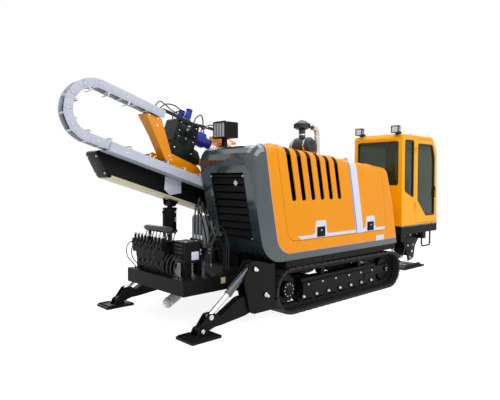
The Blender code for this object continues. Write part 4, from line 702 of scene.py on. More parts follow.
beacon = bmesh.new()
turned(beacon, [(0, 0), (0, 0.034), (0.004, 0.034), (0.012, 0.014), (0.056, 0.014), (0.060, 0.030),
                (0.084, 0.030), (0.084, 0)],
       (*BEACON, hood_top(BEACON[0]) - 0.002), (0, 0, 1), 20)
settle('beacon_base', beacon, 'machine', black_enamel)
red_lens = moulded('red lens', '#C01818', '#A81414', 0.18, 40.0)
lens = bmesh.new()
turned(lens, [(0, 0), (0, 0.030), (0.012, 0.030), (0.024, 0.024), (0.030, 0.012), (0.031, 0)],
       (*BEACON, hood_top(BEACON[0]) + 0.0825), (0, 0, 1), 20)
settle('beacon_lens', lens, 'machine', red_lens)

# Air cleaner and exhaust
# The air cleaner is moulded plastic held by steel bands, with a vaned precleaner on its
# stack. The exhaust is drawn stainless tube with a clamp at its foot and a bead at its mouth.
CLEANER = (-0.51, -0.62)
CLEANER_TOP = hood_top(CLEANER[0])
cleaner_plastic = moulded('moulded nylon', '#1B1F20', '#23282A', 0.40)
stainless = bare_metal('drawn stainless tube', '#C9C6BE', 0.26, 6.0)
repaint(cleaner_plastic, 'air_cleaner')
repaint(stainless, 'exhaust_pipe')
bands = bmesh.new()
for y in (-0.745, -0.505):
    hoop(bands, -0.012, 0.012, 0.1395, 0.1435, (CLEANER[0] + 0.02, y, CLEANER_TOP + 0.16), (0, 1, 0), 28)
    block(bands, (-0.645, y - 0.012, CLEANER_TOP + 0.14), (-0.622, y + 0.012, CLEANER_TOP + 0.19), 0.002)
hoop(bands, 0, 0.018, 0.0545, 0.0585, (*CLEANER, CLEANER_TOP + 0.335))
for z, tall in ((2.372, 0.022), (2.640, 0.014)):
    hoop(bands, 0, tall, 0.044, 0.056, (-0.28, -0.74, z))
turned(bands, [(-0.008, 0.0445), (-0.004, 0.050), (0.004, 0.050), (0.008, 0.0445)],
       (-0.384, -0.74, 2.800), (-1, 0, 0.33), 24)
settle('stack_bands', bands, 'machine', zinc_plate)
vanes = bmesh.new()
for step in range(28):
    turn = Matrix.Rotation(2 * math.pi * step / 28, 4, 'Z')
    block(vanes, (0.126, -0.002, 0.0), (0.137, 0.002, 0.060), 0.0008, 1,
          Matrix.Translation((*CLEANER, CLEANER_TOP + 0.453)) @ turn)
turned(vanes, [(0, 0.018), (0.012, 0.022), (0.018, 0.010), (0.018, 0)], (*CLEANER, CLEANER_TOP + 0.565),
       (0, 0, 1), 16)
for step in range(10):
    turn = Matrix.Rotation(2 * math.pi * step / 10, 4, 'Y')
    block(vanes, (0.02, -0.006, -0.003), (0.10, 0.0, 0.003), 0.001, 1,
          Matrix.Translation((CLEANER[0] + 0.02, CLEANER[1] - 0.20, CLEANER_TOP + 0.16)) @ turn)
settle('cleaner_ribs', vanes, 'machine', cleaner_plastic)
label = bmesh.new()
block(label, (-0.470, -0.7615, 2.365), (-0.395, -0.7605, 2.420), 0.0004)
settle('cleaner_label', label, 'machine', white_film)

# Work lamp
# A square halogen lamp looks back over the drill frame: a black moulded case, and a pale
# ribbed glass behind three guard bars.
LAMP_FACE_X = -1.9215
LAMP_XS = (LAMP_FACE_X - 0.016, LAMP_FACE_X + 0.02)
LAMP_YS = (-0.37, -0.11)
LAMP_ZS = (2.574, 2.804)
repaint(black_enamel, 'work_lamp')
ribbed_glass = moulded('ribbed lamp glass', '#DADDE2', '#C9CDD4', 0.16, 60.0)
case = bmesh.new()
for z in LAMP_ZS:
    block(case, (LAMP_XS[0], LAMP_YS[0], z - 0.012), (LAMP_XS[1], LAMP_YS[1], z + 0.012), 0.004)
for y in LAMP_YS:
    block(case, (LAMP_XS[0], y - 0.010, LAMP_ZS[0]), (LAMP_XS[1], y + 0.010, LAMP_ZS[1]), 0.004)
for index in range(3):
    y = LAMP_YS[0] + (index + 1) * 0.065
    block(case, (LAMP_XS[0], y - 0.006, LAMP_ZS[0]), (LAMP_FACE_X - 0.008, y + 0.006, LAMP_ZS[1]), 0.002)
for index in range(9):
    x = LAMP_FACE_X + 0.05 + index * 0.022
    block(case, (x, -0.372, LAMP_ZS[0] + 0.02), (x + 0.006, -0.108, LAMP_ZS[1] + 0.006), 0.002)
settle('lamp_case', case, 'machine', black_enamel)
glass = bmesh.new()
block(glass, (LAMP_FACE_X - 0.008, LAMP_YS[0] + 0.008, LAMP_ZS[0] + 0.010),
      (LAMP_FACE_X + 0.001, LAMP_YS[1] - 0.008, LAMP_ZS[1] - 0.010), 0.003)
settle('lamp_glass', glass, 'machine', ribbed_glass)

# Cab shell
# The cab is welded from pressed sheet and sprayed a brighter yellow. Its panes are tinted
# safety glass, glued behind black rubber frames; its tub is olive black with a slate sill.
CAB_REAR, CAB_RIGHT, CAB_LEFT = 1.69, -1.155, -0.105
ROOF = 2.80
RUBBER_DEPTH = 0.0178
RUBBER_WIDTH = 0.030
# height and X of the leaning windscreen, round its upper corner
SCREEN_LINE = ((1.09, 3.0900), (2.467, 3.0425), (2.502, 3.0388), (2.537, 3.0300), (2.570, 3.0164),
               (2.600, 2.9982), (2.748, 2.8958))
SEAL_THICK = 0.020
SILL_ZS = (1.062, 1.0885)
LOCK = (2.972, 1.80)


def facing_left(y):
    """Return the matrix that stands a plate upright at y, facing the machine's left."""
    return Matrix(((1, 0, 0, 0), (0, 0, 1, y), (0, 1, 0, 0), (0, 0, 0, 1)))


def facing_end(x, way):
    """Return the matrix that stands a plate across the machine at x, facing +X or -X as way says."""
    return Matrix(((0, 0, way, x), (1, 0, 0, 0), (0, 1, 0, 0), (0, 0, 0, 1)))


def ring(shape, outline, width, thick, corner, matrix):
    """Add a flat frame inside an outline, with rounded corners."""
    part = bmesh.new()
    part.faces.new([part.verts.new((a, b, 0)) for a, b in outline])
    bmesh.ops.bevel(part, geom=part.verts, offset=corner, segments=5, profile=0.5, affect='VERTICES',
                    material=-1)
    bmesh.ops.inset_region(part, faces=part.faces[:], thickness=width, use_even_offset=True,
                           use_boundary=True)
    inner = max(part.faces, key=lambda face: face.calc_area())
    bmesh.ops.delete(part, geom=[inner], context='FACES_ONLY')
    long_ones = [edge for edge in part.edges if edge.calc_length() > 0.2]
    bmesh.ops.subdivide_edges(part, edges=long_ones, cuts=9, use_grid_fill=True)
    raised = bmesh.ops.extrude_face_region(part, geom=part.faces[:], use_keep_orig=True)
    top = [item for item in raised['geom'] if isinstance(item, bmesh.types.BMVert)]
    bmesh.ops.translate(part, vec=(0, 0, thick), verts=top)
    put(shape, part, matrix)


def screen_x(z):
    """Return the windscreen's X at a height."""
    for (low, low_x), (high, high_x) in zip(SCREEN_LINE, SCREEN_LINE[1:]):
        if z <= high:
            return low_x + (high_x - low_x) * (z - low) / (high - low)
    return SCREEN_LINE[-1][1]


# glossy enamel, a cleaner yellow than the hood's
cab_enamel = enamel('cab enamel', '#FFB200', '#FBAC00', 0.31, 0.2)
repaint(cab_enamel, 'cab_shell', 'cab_door', 'handrail')
repaint(chassis_enamel, 'cab_base')
repaint(black_enamel, 'step_loop', 'cab_lamp_right', 'cab_lamp_left')
# tinted float glass: dark green in the pane, with sharp reflections
cab_glass, tree, shader, place = new_material('tinted safety glass')
shader.inputs['Base Color'].default_value = linear('#1F371B')
shader.inputs['Alpha'].default_value = 0.62
shader.inputs['IOR'].default_value = 1.5
shader.inputs['Specular IOR Level'].default_value = 0.4
film_marks = add(tree, 'TexNoise', [('Vector', place, 'Object')], Scale=2.0, Detail=3.0)
rough = add(tree, 'MapRange', [('Value', film_marks, 'Fac')], To_Min=0.01, To_Max=0.05)
tree.links.new(rough.outputs[0], shader.inputs['Roughness'])
repaint(cab_glass, 'glass_rear', 'glass_front', 'glass_quarter', 'glass_left', 'glass_door')
# extruded black rubber: matt, with a faint grain along the seal
seal_rubber = moulded('extruded seal rubber', '#121314', '#191A1B', 0.58, 150.0)
seals = bmesh.new()
into = Matrix.Translation((0, 0, -RUBBER_DEPTH))
# outline, corner radius, wall
WINDOWS = (
    ([(1.792, 1.743), (2.128, 1.604), (2.128, 2.708), (1.792, 2.708)], 0.045, SIDE),
    ([(1.802, 1.302), (2.938, 1.302), (2.878, 2.658), (1.802, 2.658)], 0.055, facing_left(CAB_LEFT)),
    (oblong((-1.078, 1.852), (-0.182, 2.678)), 0.045, facing_end(CAB_REAR, -1)),
)
for outline, corner, wall in WINDOWS:
    ring(seals, outline, RUBBER_WIDTH, SEAL_THICK, corner, wall @ into)
screen = bmesh.new()
ring(screen, oblong((-1.078, 1.222), (-0.182, 2.598)), RUBBER_WIDTH, SEAL_THICK, 0.045,
     facing_end(0, 1) @ into)
for vert in screen.verts:
    vert.co.x += screen_x(vert.co.z)
put(seals, screen, Matrix.Identity(4))
settle('window_seals', seals, 'machine', seal_rubber)
door_seal = bmesh.new()
ring(door_seal, [(2.282, 1.562), (2.282, 2.658), (2.869, 2.658), (2.963, 2.420), (2.978, 1.242),
                 (2.621, 1.242)], RUBBER_WIDTH, SEAL_THICK, 0.045, SIDE @ into)
settle('door_seal', door_seal, 'door', seal_rubber)
lock = bmesh.new()
plate(lock, [(2.945, 1.60), (3.005, 1.60), (3.000, 1.83), (2.940, 1.83)], 0.010, SIDE, 0.026, 0.003)
turned(lock, [(0, 0), (0, 0.016), (0.006, 0.014), (0.006, 0)], (LOCK[0], CAB_RIGHT - 0.010, LOCK[1]),
       (0, -1, 0), 18)
settle('door_lock', lock, 'door', black_enamel)
key = bmesh.new()
turned(key, [(0, 0), (0, 0.011), (0.005, 0.009), (0.005, 0)], (LOCK[0], CAB_RIGHT - 0.015, LOCK[1]),
       (0, -1, 0), 14)
block(key, (2.957, CAB_RIGHT - 0.010, 1.565), (2.989, CAB_RIGHT + 0.001, 1.592), 0.003)
settle('door_key', key, 'door', zinc_plate)
sills = bmesh.new()
# lower Y, upper X, upper Y of the right, rear and left strips
for low_y, high_x, high_y in ((CAB_RIGHT - 0.004, 3.094, CAB_RIGHT + 0.02),
                              (CAB_RIGHT - 0.004, CAB_REAR + 0.02, CAB_LEFT + 0.004),
                              (CAB_LEFT - 0.02, 3.094, CAB_LEFT + 0.004)):
    block(sills, (CAB_REAR - 0.004, low_y, SILL_ZS[0]), (high_x, high_y, SILL_ZS[1]), 0.003)
for x, z in ((2.44, 1.075), (2.86, 1.075), (1.86, 1.075)):
    bolt(sills, (x, CAB_RIGHT - 0.004, z), (0, -1, 0), 0.016)
settle('cab_sills', sills, 'machine', slate_enamel)

# Cab roof and outside fittings
# The roof carries a pressed panel, two lifting eyes and two square reversing lamps on steel
# arms. A wiper sweeps the windscreen, and black strip lines the handrail.
roof = bmesh.new()
plate(roof, oblong((1.76, -1.09), (2.74, -0.17)), 0.016,
      Matrix.Translation((0, 0, ROOF - 0.001)), 0.08, 0.008)
for y in (-0.93, -0.63, -0.33):
    block(roof, (1.86, y - 0.02, ROOF + 0.012), (2.64, y + 0.02, ROOF + 0.020), 0.006, 2)
block(roof, (CAB_REAR - 0.012, -1.09, 2.712), (CAB_REAR + 0.002, -0.17, 2.740), 0.005, 2)
settle('roof_panel', roof, 'machine', cab_enamel)
eyes = bmesh.new()
for x in (2.05, 2.76):
    block(eyes, (x - 0.03, -1.135, ROOF - 0.001), (x + 0.03, -1.095, ROOF + 0.007), 0.002)
    hoop(eyes, -0.007, 0.007, 0.014, 0.028, (x, -1.115, ROOF + 0.030), (0, 1, 0), 18)
settle('lifting_eyes', eyes, 'machine', zinc_plate)
lenses = bmesh.new()
hoods = bmesh.new()
for y in (CAB_RIGHT + 0.13, CAB_LEFT - 0.13):
    turn = facing_end(1.640, -1)
    ring(hoods, oblong((y - 0.074, ROOF + 0.026), (y + 0.074, ROOF + 0.164)), 0.010, 0.014, 0.016, turn)
    plate(lenses, oblong((y - 0.062, ROOF + 0.038), (y + 0.062, ROOF + 0.152)), 0.006, turn, 0.010, 0.002)
    block(lenses, (1.650, y - 0.0712, ROOF + 0.045), (1.700, y + 0.0712, ROOF + 0.145), 0.006)
    for index in range(5):
        x = 1.650 + index * 0.014
        block(hoods, (x, y - 0.073, ROOF + 0.05), (x + 0.004, y + 0.073, ROOF + 0.163), 0.0015)
settle('lamp_lenses', lenses, 'machine', ribbed_glass)
settle('lamp_hoods', hoods, 'machine', black_enamel)
outside = bmesh.new()
between(outside, (screen_x(1.20) + 0.012, -0.64, 1.20), (screen_x(1.20) + 0.045, -0.64, 1.20), 0.016)
between(outside, (screen_x(1.20) + 0.040, -0.64, 1.20), (screen_x(1.95) + 0.030, -0.86, 1.95), 0.007)
between(outside, (screen_x(1.62) + 0.014, -0.99, 1.62), (screen_x(2.20) + 0.014, -0.84, 2.20), 0.006)
block(outside, (3.150, CAB_RIGHT + 0.070, 1.30), (3.158, CAB_RIGHT + 0.130, 2.30), 0.002)
for z in (1.34, 1.80, 2.26):
    between(outside, (3.150, CAB_RIGHT + 0.10, z), (3.164, CAB_RIGHT + 0.10, z), 0.020)
settle('wiper_and_strip', outside, 'machine', black_enamel)

# Cab inside
# Behind the glass are a sprung seat in woven cloth over foam, a console with two joysticks
# and a screen, a rubber floor mat, and a small red fire extinguisher strapped to the wall.
SEAT_Y = -0.63
CAB_FLOOR = 0.9706
WEAVE_SCALE = 32.5
BOTTLE = (2.02, -1.045)
seat_cloth, tree, shader, place = new_material('woven seat cloth')
# real threads are 1 mm apart, drawn at about 10 mm so that the weave shows
warp = add(tree, 'TexWave', [('Vector', place, 'Object')], Scale=WEAVE_SCALE, bands_direction='Y')
weft = add(tree, 'TexWave', [('Vector', place, 'Object')], Scale=WEAVE_SCALE, bands_direction='X')
woven = add(tree, 'Math', [(0, warp, 'Fac'), (1, weft, 'Fac')], operation='MULTIPLY')
tint = add(tree, 'Mix', [('Factor', woven, 0)], data_type='RGBA', i6=linear('#1F2023'),
           i7=linear('#3A3B40'))
tree.links.new(tint.outputs[2], shader.inputs['Base Color'])
bump = add(tree, 'Bump', [('Height', woven, 0)], Strength=0.5, Distance=0.002)
tree.links.new(bump.outputs[0], shader.inputs['Normal'])
shader.inputs['Roughness'].default_value = 0.92
shader.inputs['Sheen Weight'].default_value = 0.3


def cushion(name, size, matrix, body):
    """Make a crowned cushion whose sides pull in between its corners, with a sewn edge."""
    pad = bmesh.new()
    bmesh.ops.create_cube(pad, size=2.0)
    bmesh.ops.subdivide_edges(pad, edges=pad.edges, cuts=9, use_grid_fill=True)
    half = Vector(size) / 2
    for vert in pad.verts:
        x, y, z = vert.co
        bow = (1 - x * x) * (1 - y * y)
        swell = 0.72 + 0.28 * math.sqrt(max(bow, 0.0))
        seam = 1 - 0.05 * math.exp(-(z / 0.16) ** 2)
        vert.co = (x * half.x * (1 - 0.045 * (1 - y * y)) * seam * (1 - 0.06 * z * z),
                   y * half.y * (1 - 0.045 * (1 - x * x)) * seam * (1 - 0.06 * z * z),
                   z * half.z * swell)
        if abs(abs(x) - 0.45) < 0.06 and z > 0.5:
            vert.co.z -= 0.006
    bmesh.ops.transform(pad, matrix=matrix, verts=pad.verts)
    made = settle(name, pad, body, seat_cloth)
    for polygon in made.data.polygons:
        polygon.use_smooth = True
    rounding = made.modifiers.new('rounding', 'SUBSURF')
    rounding.levels = rounding.render_levels = 1
    return made


back_lean = Matrix.Rotation(math.radians(-79), 4, 'Y')
seat = cushion('seat_cushion', (0.44, 0.46, 0.115), Matrix.Translation((2.305, SEAT_Y, 1.375)), 'machine')
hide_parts('seat')
cushion('seat_back', (0.50, 0.44, 0.105), Matrix.Translation((2.030, SEAT_Y, 1.695)) @ back_lean, 'machine')
cushion('headrest', (0.15, 0.26, 0.080), Matrix.Translation((1.965, SEAT_Y, 2.045)) @ back_lean, 'machine')
stand = bmesh.new()
block(stand, (2.06, SEAT_Y - 0.16, CAB_FLOOR), (2.44, SEAT_Y + 0.16, 1.12), 0.02, 3)
for index in range(4):
    z = 1.12 + index * 0.042
    block(stand, (2.09, SEAT_Y - 0.14, z), (2.41, SEAT_Y + 0.14, z + 0.034), 0.014, 3)
block(stand, (2.06, SEAT_Y - 0.21, 1.288), (2.52, SEAT_Y + 0.21, 1.316), 0.008, 2)
turn = Matrix.Translation((1.967, SEAT_Y, 1.70)) @ back_lean
block(stand, (-0.26, -0.20, -0.012), (0.30, 0.20, 0.012), 0.010, 2, turn)
for y in (-0.30, 0.24):
    block(stand, (2.08, SEAT_Y + y, 1.53), (2.38, SEAT_Y + y + 0.06, 1.57), 0.014, 3)
    block(stand, (2.08, SEAT_Y + y + 0.01, 1.30), (2.13, SEAT_Y + y + 0.05, 1.54), 0.010, 2)
settle('seat_stand', stand, 'machine', cleaner_plastic)
repaint(cleaner_plastic, 'console')
desk = bmesh.new()
for y in (-0.22, 0.22):
    turned(desk, [(0, 0.020), (0.015, 0.034), (0.03, 0.020)], (2.696, SEAT_Y + y, 1.50), (-0.1, 0, 1), 16)
    turned(desk, [(0, 0.015), (0.02, 0.024), (0.08, 0.026), (0.11, 0.018), (0.118, 0)],
           (2.678, SEAT_Y + y, 1.655), (-0.1, 0, 1), 16)
turn = Matrix.Translation((2.83, SEAT_Y, 1.62)) @ Matrix.Rotation(math.radians(-18), 4, 'Y')
block(desk, (-0.02, -0.15, -0.10), (0.02, 0.15, 0.10), 0.008, 2, turn)
between(desk, (2.83, SEAT_Y, 1.48), (2.83, SEAT_Y, 1.56), 0.016)
for row in range(2):
    for column in range(7):
        turned(desk, [(0, 0.010), (0.008, 0.010), (0.010, 0.007), (0.010, 0)],
               (2.64 + row * 0.05, SEAT_Y - 0.11 + column * 0.036, 1.4985), (0, 0, 1), 10)
settle('console_controls', desk, 'machine', cleaner_plastic)
mat = bmesh.new()
block(mat, (1.76, -1.09, CAB_FLOOR), (3.02, -0.17, 0.978), 0.002)
for index in range(23):
    y = -1.07 + index * 0.038
    block(mat, (1.78, y, 0.977), (3.00, y + 0.014, 0.981), 0.0015)
settle('floor_mat', mat, 'machine', seal_rubber)
bottle = bmesh.new()
turned(bottle, [(0, 0), (0, 0.040), (0.012, 0.045), (0.27, 0.045), (0.305, 0.030), (0.32, 0.014),
                (0.34, 0.014), (0.34, 0)], (*BOTTLE, 1.70), (0, 0, 1), 24)
red_enamel = enamel('red enamel', '#B51B1B', '#A51616', 0.28, 0.6)
settle('extinguisher', bottle, 'machine', red_enamel)
clips = bmesh.new()
for z in (1.76, 1.92):
    hoop(clips, -0.010, 0.010, 0.0455, 0.0475, (*BOTTLE, z))
block(clips, (1.985, -1.104, 1.72), (2.055, -1.094, 1.98), 0.003)
between(clips, (*BOTTLE, 2.035), (BOTTLE[0] + 0.05, BOTTLE[1], 2.065), 0.010)
settle('extinguisher_clips', clips, 'machine', black_enamel)

# Hydraulic tank
# The oil tank on the left shelf is welded plate in slate enamel, with a filler cap, a
# breather, a sight glass in a zinc frame, and a return filter bolted to its top.
FILLER = (-1.20, 0.90)
RETURN_FILTER = (-0.72, 0.90)
GAUGE_Y = 1.145
repaint(slate_enamel, 'hydraulic_tank')
tank = bmesh.new()
turned(tank, [(-0.02, 0.054), (0.0, 0.056), (0.022, 0.056), (0.030, 0.048), (0.030, 0)], (*FILLER, 1.42),
       (0, 0, 1), 24)
for a, b in circle(12, 0.055):
    block(tank, (FILLER[0] + a - 0.004, FILLER[1] + b - 0.004, 1.402),
          (FILLER[0] + a + 0.004, FILLER[1] + b + 0.004, 1.44), 0.0015)
turned(tank, [(-0.02, 0.075), (0.030, 0.075), (0.036, 0.066), (0.060, 0.066), (0.068, 0.05), (0.068, 0)],
       (*RETURN_FILTER, 1.285), (0, 0, 1), 24)
turned(tank, [(-0.02, 0.020), (0.03, 0.020), (0.03, 0.035), (0.075, 0.035), (0.082, 0.026), (0.082, 0)],
       (-0.48, 1.00, 1.25), (0, 0, 1), 18)
settle('tank_fittings', tank, 'machine', cleaner_plastic)
gauge = bmesh.new()
for z in (1.02, 1.22):
    bolt(gauge, (-0.52, GAUGE_Y, z), (0, 1, 0), 0.024)
block(gauge, (-0.535, 1.1448, 1.00), (-0.505, 1.154, 1.24), 0.003)
for a, b in circle(6, 0.058):
    bolt(gauge, (RETURN_FILTER[0] + a, RETURN_FILTER[1] + b, 1.319), (0, 0, 1), 0.014)
for x in (-1.36, -0.90, -0.36):
    bolt(gauge, (x, GAUGE_Y, 0.86), (0, 1, 0), 0.022)
settle('tank_gauge', gauge, 'machine', zinc_plate)

# Rear legs
# Each leg is a flame-cut and welded arm on a large pin, pushed down by a cylinder with a
# hard-chromed rod. Its foot swivels on two ears; pins end in turned caps, and a pipe feeds it.
LEG_Y = 1.05
LEG_PINS = {'pivot': (-1.86, 0.386), 'barrel': (-2.06, 0.759), 'rod': (-2.77, 0.235), 'pad': (-2.92, 0.09)}
# hard chromium on a ground rod: nearly a mirror
hard_chrome = bare_metal('hard chromium', '#DCE0E6', 0.14, 5.0)
for tag, side in (('right', -1), ('left', 1)):
    repaint(black_enamel, 'leg_arm_' + tag, 'leg_pad_' + tag)
    repaint(slate_enamel, 'leg_barrel_' + tag)
    repaint(hard_chrome, 'leg_rod_' + tag)
    out = (0, side, 0)
    caps = {'machine': bmesh.new(), 'leg_' + tag: bmesh.new(), 'pad_' + tag: bmesh.new()}
    # name, body, distance from the machine's middle, radius
    for pin, body, away, radius in (('pivot', 'machine', 1.158, 0.030), ('barrel', 'machine', 1.158, 0.028),
                                    ('rod', 'leg_' + tag, 1.105, 0.034), ('pad', 'pad_' + tag, 1.128, 0.030)):
        x, z = LEG_PINS[pin]
        turned(caps[body], [(-0.002, 0), (-0.002, radius), (0.006, radius), (0.009, radius * 0.72),
                            (0.006, radius * 0.55), (0.006, 0)], (x, side * away, z), out, 20)
        bolt(caps[body], (x, side * (away + 0.006), z), out, radius * 0.7)
    settle('leg_caps_' + tag, caps['leg_' + tag], 'leg_' + tag, zinc_plate)
    settle('bracket_caps_' + tag, caps['machine'], 'machine', zinc_plate)
    settle('pad_caps_' + tag, caps['pad_' + tag], 'pad_' + tag, zinc_plate)
    ribs = bmesh.new()
    inner, outer = sorted((side * 0.91, side * 1.234))
    block(ribs, (-3.13, inner, 0.034), (-3.118, outer, 0.052), 0.003)
    for y in (0.915, 1.215):
        low, high = sorted((side * y, side * (y + 0.012)))
        block(ribs, (-3.15, low, 0.034), (-2.96, high, 0.052), 0.003)
    settle('pad_ribs_' + tag, ribs, 'pad_' + tag, black_enamel)
    base = Vector((LEG_PINS['barrel'][0], side * LEG_Y, LEG_PINS['barrel'][1]))
    eye = Vector((LEG_PINS['rod'][0], side * LEG_Y, LEG_PINS['rod'][1]))
    run = (eye - base).normalized()
    upward = Vector((-run.z, 0, run.x)) if run.x > 0 else Vector((run.z, 0, -run.x))
    pipe = bmesh.new()
    lift = upward * 0.062
    between(pipe, base + run * 0.07 + lift, base + run * 0.44 + lift, 0.007, 10)
    for along in (0.08, 0.43):
        between(pipe, base + run * along + upward * 0.040, base + run * along + upward * 0.068, 0.012, 10)
    turned(pipe, [(0, 0.052), (0.004, 0.0535), (0.016, 0.0535), (0.020, 0.052)], base + run * 0.475, run, 24)
    settle('leg_pipe_' + tag, pipe, 'leg_cylinder_' + tag, slate_enamel)
tags = bmesh.new()
plate(tags, oblong((-2.30, 0.53), (-2.12, 0.615)), 0.003, facing_right(-0.7203), 0.008, 0.001)
cream_enamel = enamel('cream enamel', '#DDD3B4', '#D3C9A8', 0.45, 0.2)
settle('blank_tag', tags, 'machine', cream_enamel)

# Drill beam
# The long beam is a welded box with wide flanges, stiffened by plates and capped at its rear.
# A steel rack for the carriage's pinion is bolted along its left side.
BEAM = Matrix.Translation((-3.4772, 0.38, 2.353)) @ Matrix.Rotation(math.radians(17.4), 4, 'Y')
BEAM_RIGHT = facing_right(-0.1805)
RACK_PITCH = 0.05
RACK_FACES = (0.151, 0.172)
# ground and oiled tool steel: mid grey with fine working marks
machined_steel = bare_metal('machined steel', '#9A9EA3', 0.36, 45.0)
repaint(black_enamel, 'drill_beam')
stiff = bmesh.new()
for index in range(10):
    u = 1.86 + index * 0.48
    for low, high in ((-0.178, -0.148), (0.148, 0.178)):
        block(stiff, (u, low, -0.272), (u + 0.012, high, -0.100), 0.003)
for index in range(4):
    u = 1.95 + index * 0.80
    plate(stiff, [(-0.415, -0.014), (-0.17, -0.014), (-0.17, -0.17), (-0.20, -0.17)], 0.012,
          facing_end(u, 1), 0.0, 0.002)
settle('beam_stiffeners', stiff, 'drill_frame', black_enamel, BEAM)
end_cap = bmesh.new()
slant = Vector((0.703, 0, -0.711))
outward = Vector((-0.711, 0, -0.703))
turn = Matrix(((slant.x, 0, outward.x, 0.0), (0, 1, 0, 0), (slant.z, 0, outward.z, -0.03), (0, 0, 0, 1)))
plate(end_cap, oblong((0.006, -0.172), (0.372, 0.172)), 0.010, turn, 0.045, 0.003)
settle('beam_end_cap', end_cap, 'drill_frame', black_enamel, BEAM)
rack = bmesh.new()
block(rack, (0.55, RACK_FACES[0], -0.160), (5.35, RACK_FACES[1], -0.118), 0.002)
for index in range(96):
    u = 0.555 + index * RACK_PITCH
    plate(rack, [(u, -0.162), (u + 0.036, -0.162), (u + 0.026, -0.188), (u + 0.010, -0.188)], 0.021,
          facing_left(RACK_FACES[0]))
for index in range(20):
    bolt(rack, (0.66 + index * 0.24, RACK_FACES[1], -0.139), (0, 1, 0), 0.018)
settle('thrust_rack', rack, 'drill_frame', machined_steel, BEAM)
# painted highlight: the cream strip along the underside of the black beam's lower flange, and the thinner one
# under it, stand for light falling on that underside
marks = bmesh.new()
block(marks, (0.285, -0.1825, -0.3030), (6.50, 0.1825, -0.2675), 0.002)
block(marks, (0.30, -0.1500, -0.3045), (6.48, 0.1500, -0.3025), 0.0008)
settle('flange_underside_highlight', marks, 'drill_frame', cream_enamel, BEAM)
shield = bmesh.new()
plate(shield, [(1.09, -0.020), (1.38, -0.016), (1.43, -0.180), (1.25, -0.264), (1.13, -0.214)], 0.006,
      BEAM_RIGHT, 0.010, 0.002)
settle('shield_plate', shield, 'drill_frame', white_film, BEAM)
pins = bmesh.new()
for u, w in ((1.14, -0.08), (1.35, -0.08), (1.24, -0.225)):
    bolt(pins, (u, -0.1865, w), (0, -1, 0), 0.016)
for b in (-0.13, 0.13):
    for along in (0.06, 0.31):
        place = Vector((0, b, -0.03)) + slant * along + outward * 0.010
        bolt(pins, place, outward, 0.022)
for index in range(16):
    u = 0.30 + index * 0.29
    bolt(pins, (u, -0.420, 0.045), (0, -1, 0), 0.014)
settle('beam_bolts', pins, 'drill_frame', zinc_plate, BEAM)

# Drag chain
# The energy chain is moulded in light grey nylon: overlapping side links on pins, joined by
# snap-in crossbars. Black hydraulic hoses run inside it and leave at the carriage's arm.
CHAIN_PITCH = 0.1
CHAIN_LOOP = (-0.25, 0.41)
CHAIN_RADIUS = 0.35
CHAIN_RUNS = (3.35, math.pi * CHAIN_RADIUS, 0.95)
CHAIN_SIDES = (-0.395, -0.215)
CHAIN_HALF = 0.0595
CHAIN_HOSE_VS = (-0.362, -0.323, -0.284, -0.245)


def chain_spot(along):
    """Return the chain's middle line at a distance along it, as u, w and heading."""
    if along <= CHAIN_RUNS[0]:
        return 3.10 - along, CHAIN_LOOP[1] - CHAIN_RADIUS, math.pi
    along -= CHAIN_RUNS[0]
    if along <= CHAIN_RUNS[1]:
        turn = along / CHAIN_RADIUS
        return (CHAIN_LOOP[0] - CHAIN_RADIUS * math.sin(turn), CHAIN_LOOP[1] - CHAIN_RADIUS * math.cos(turn),
                math.pi - turn)
    return CHAIN_LOOP[0] + along - CHAIN_RUNS[1], CHAIN_LOOP[1] + CHAIN_RADIUS, 0.0


def smoothed(points, steps=6):
    """Return a smooth route through points."""
    spots = [Vector(point) for point in points]
    route = []
    for index in range(len(spots) - 1):
        before, here = spots[max(index - 1, 0)], spots[index]
        after, beyond = spots[index + 1], spots[min(index + 2, len(spots) - 1)]
        for step in range(steps):
            t = step / steps
            route.append(0.5 * (2 * here + (after - before) * t
                                + (2 * before - 5 * here + 4 * after - beyond) * t * t
                                + (3 * here - before - 3 * after + beyond) * t ** 3))
    route.append(spots[-1])
    return route


def hose(name, body, diameter, points, axes=ROW, steps=6, crimped=forged_steel):
    route = [axes @ spot for spot in smoothed(points, steps)]
    made = wire(name, route, diameter / 2, hose_rubber)
    made.data.bevel_resolution = 3
    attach(made, body)
    ends = []
    if crimped:
        crimps = bmesh.new()
        radius = diameter / 2
        for first, second in ((route[0], route[1]), (route[-1], route[-2])):
            run_out = (second - first).normalized()
            turned(crimps, [(0, radius * 1.35), (radius * 1.2, radius * 1.35)], first, run_out, 6)
            turned(crimps, [(0, 0), (0, radius * 1.22), (radius * 3.6, radius * 1.22),
                            (radius * 3.8, radius * 1.02)], first, run_out, 12)
        ends = [settle(name + '_ends', crimps, body, crimped, Matrix.Identity(4))]
    return made


# injection-moulded nylon: pale, faintly blue, with a soft satin sheen
grey_nylon = moulded('moulded grey nylon', '#C9CFDC', '#BEC4D3', 0.46, 120.0)
white_nylon = moulded('moulded white nylon', '#E6E7EA', '#DCDDE2', 0.42, 120.0)
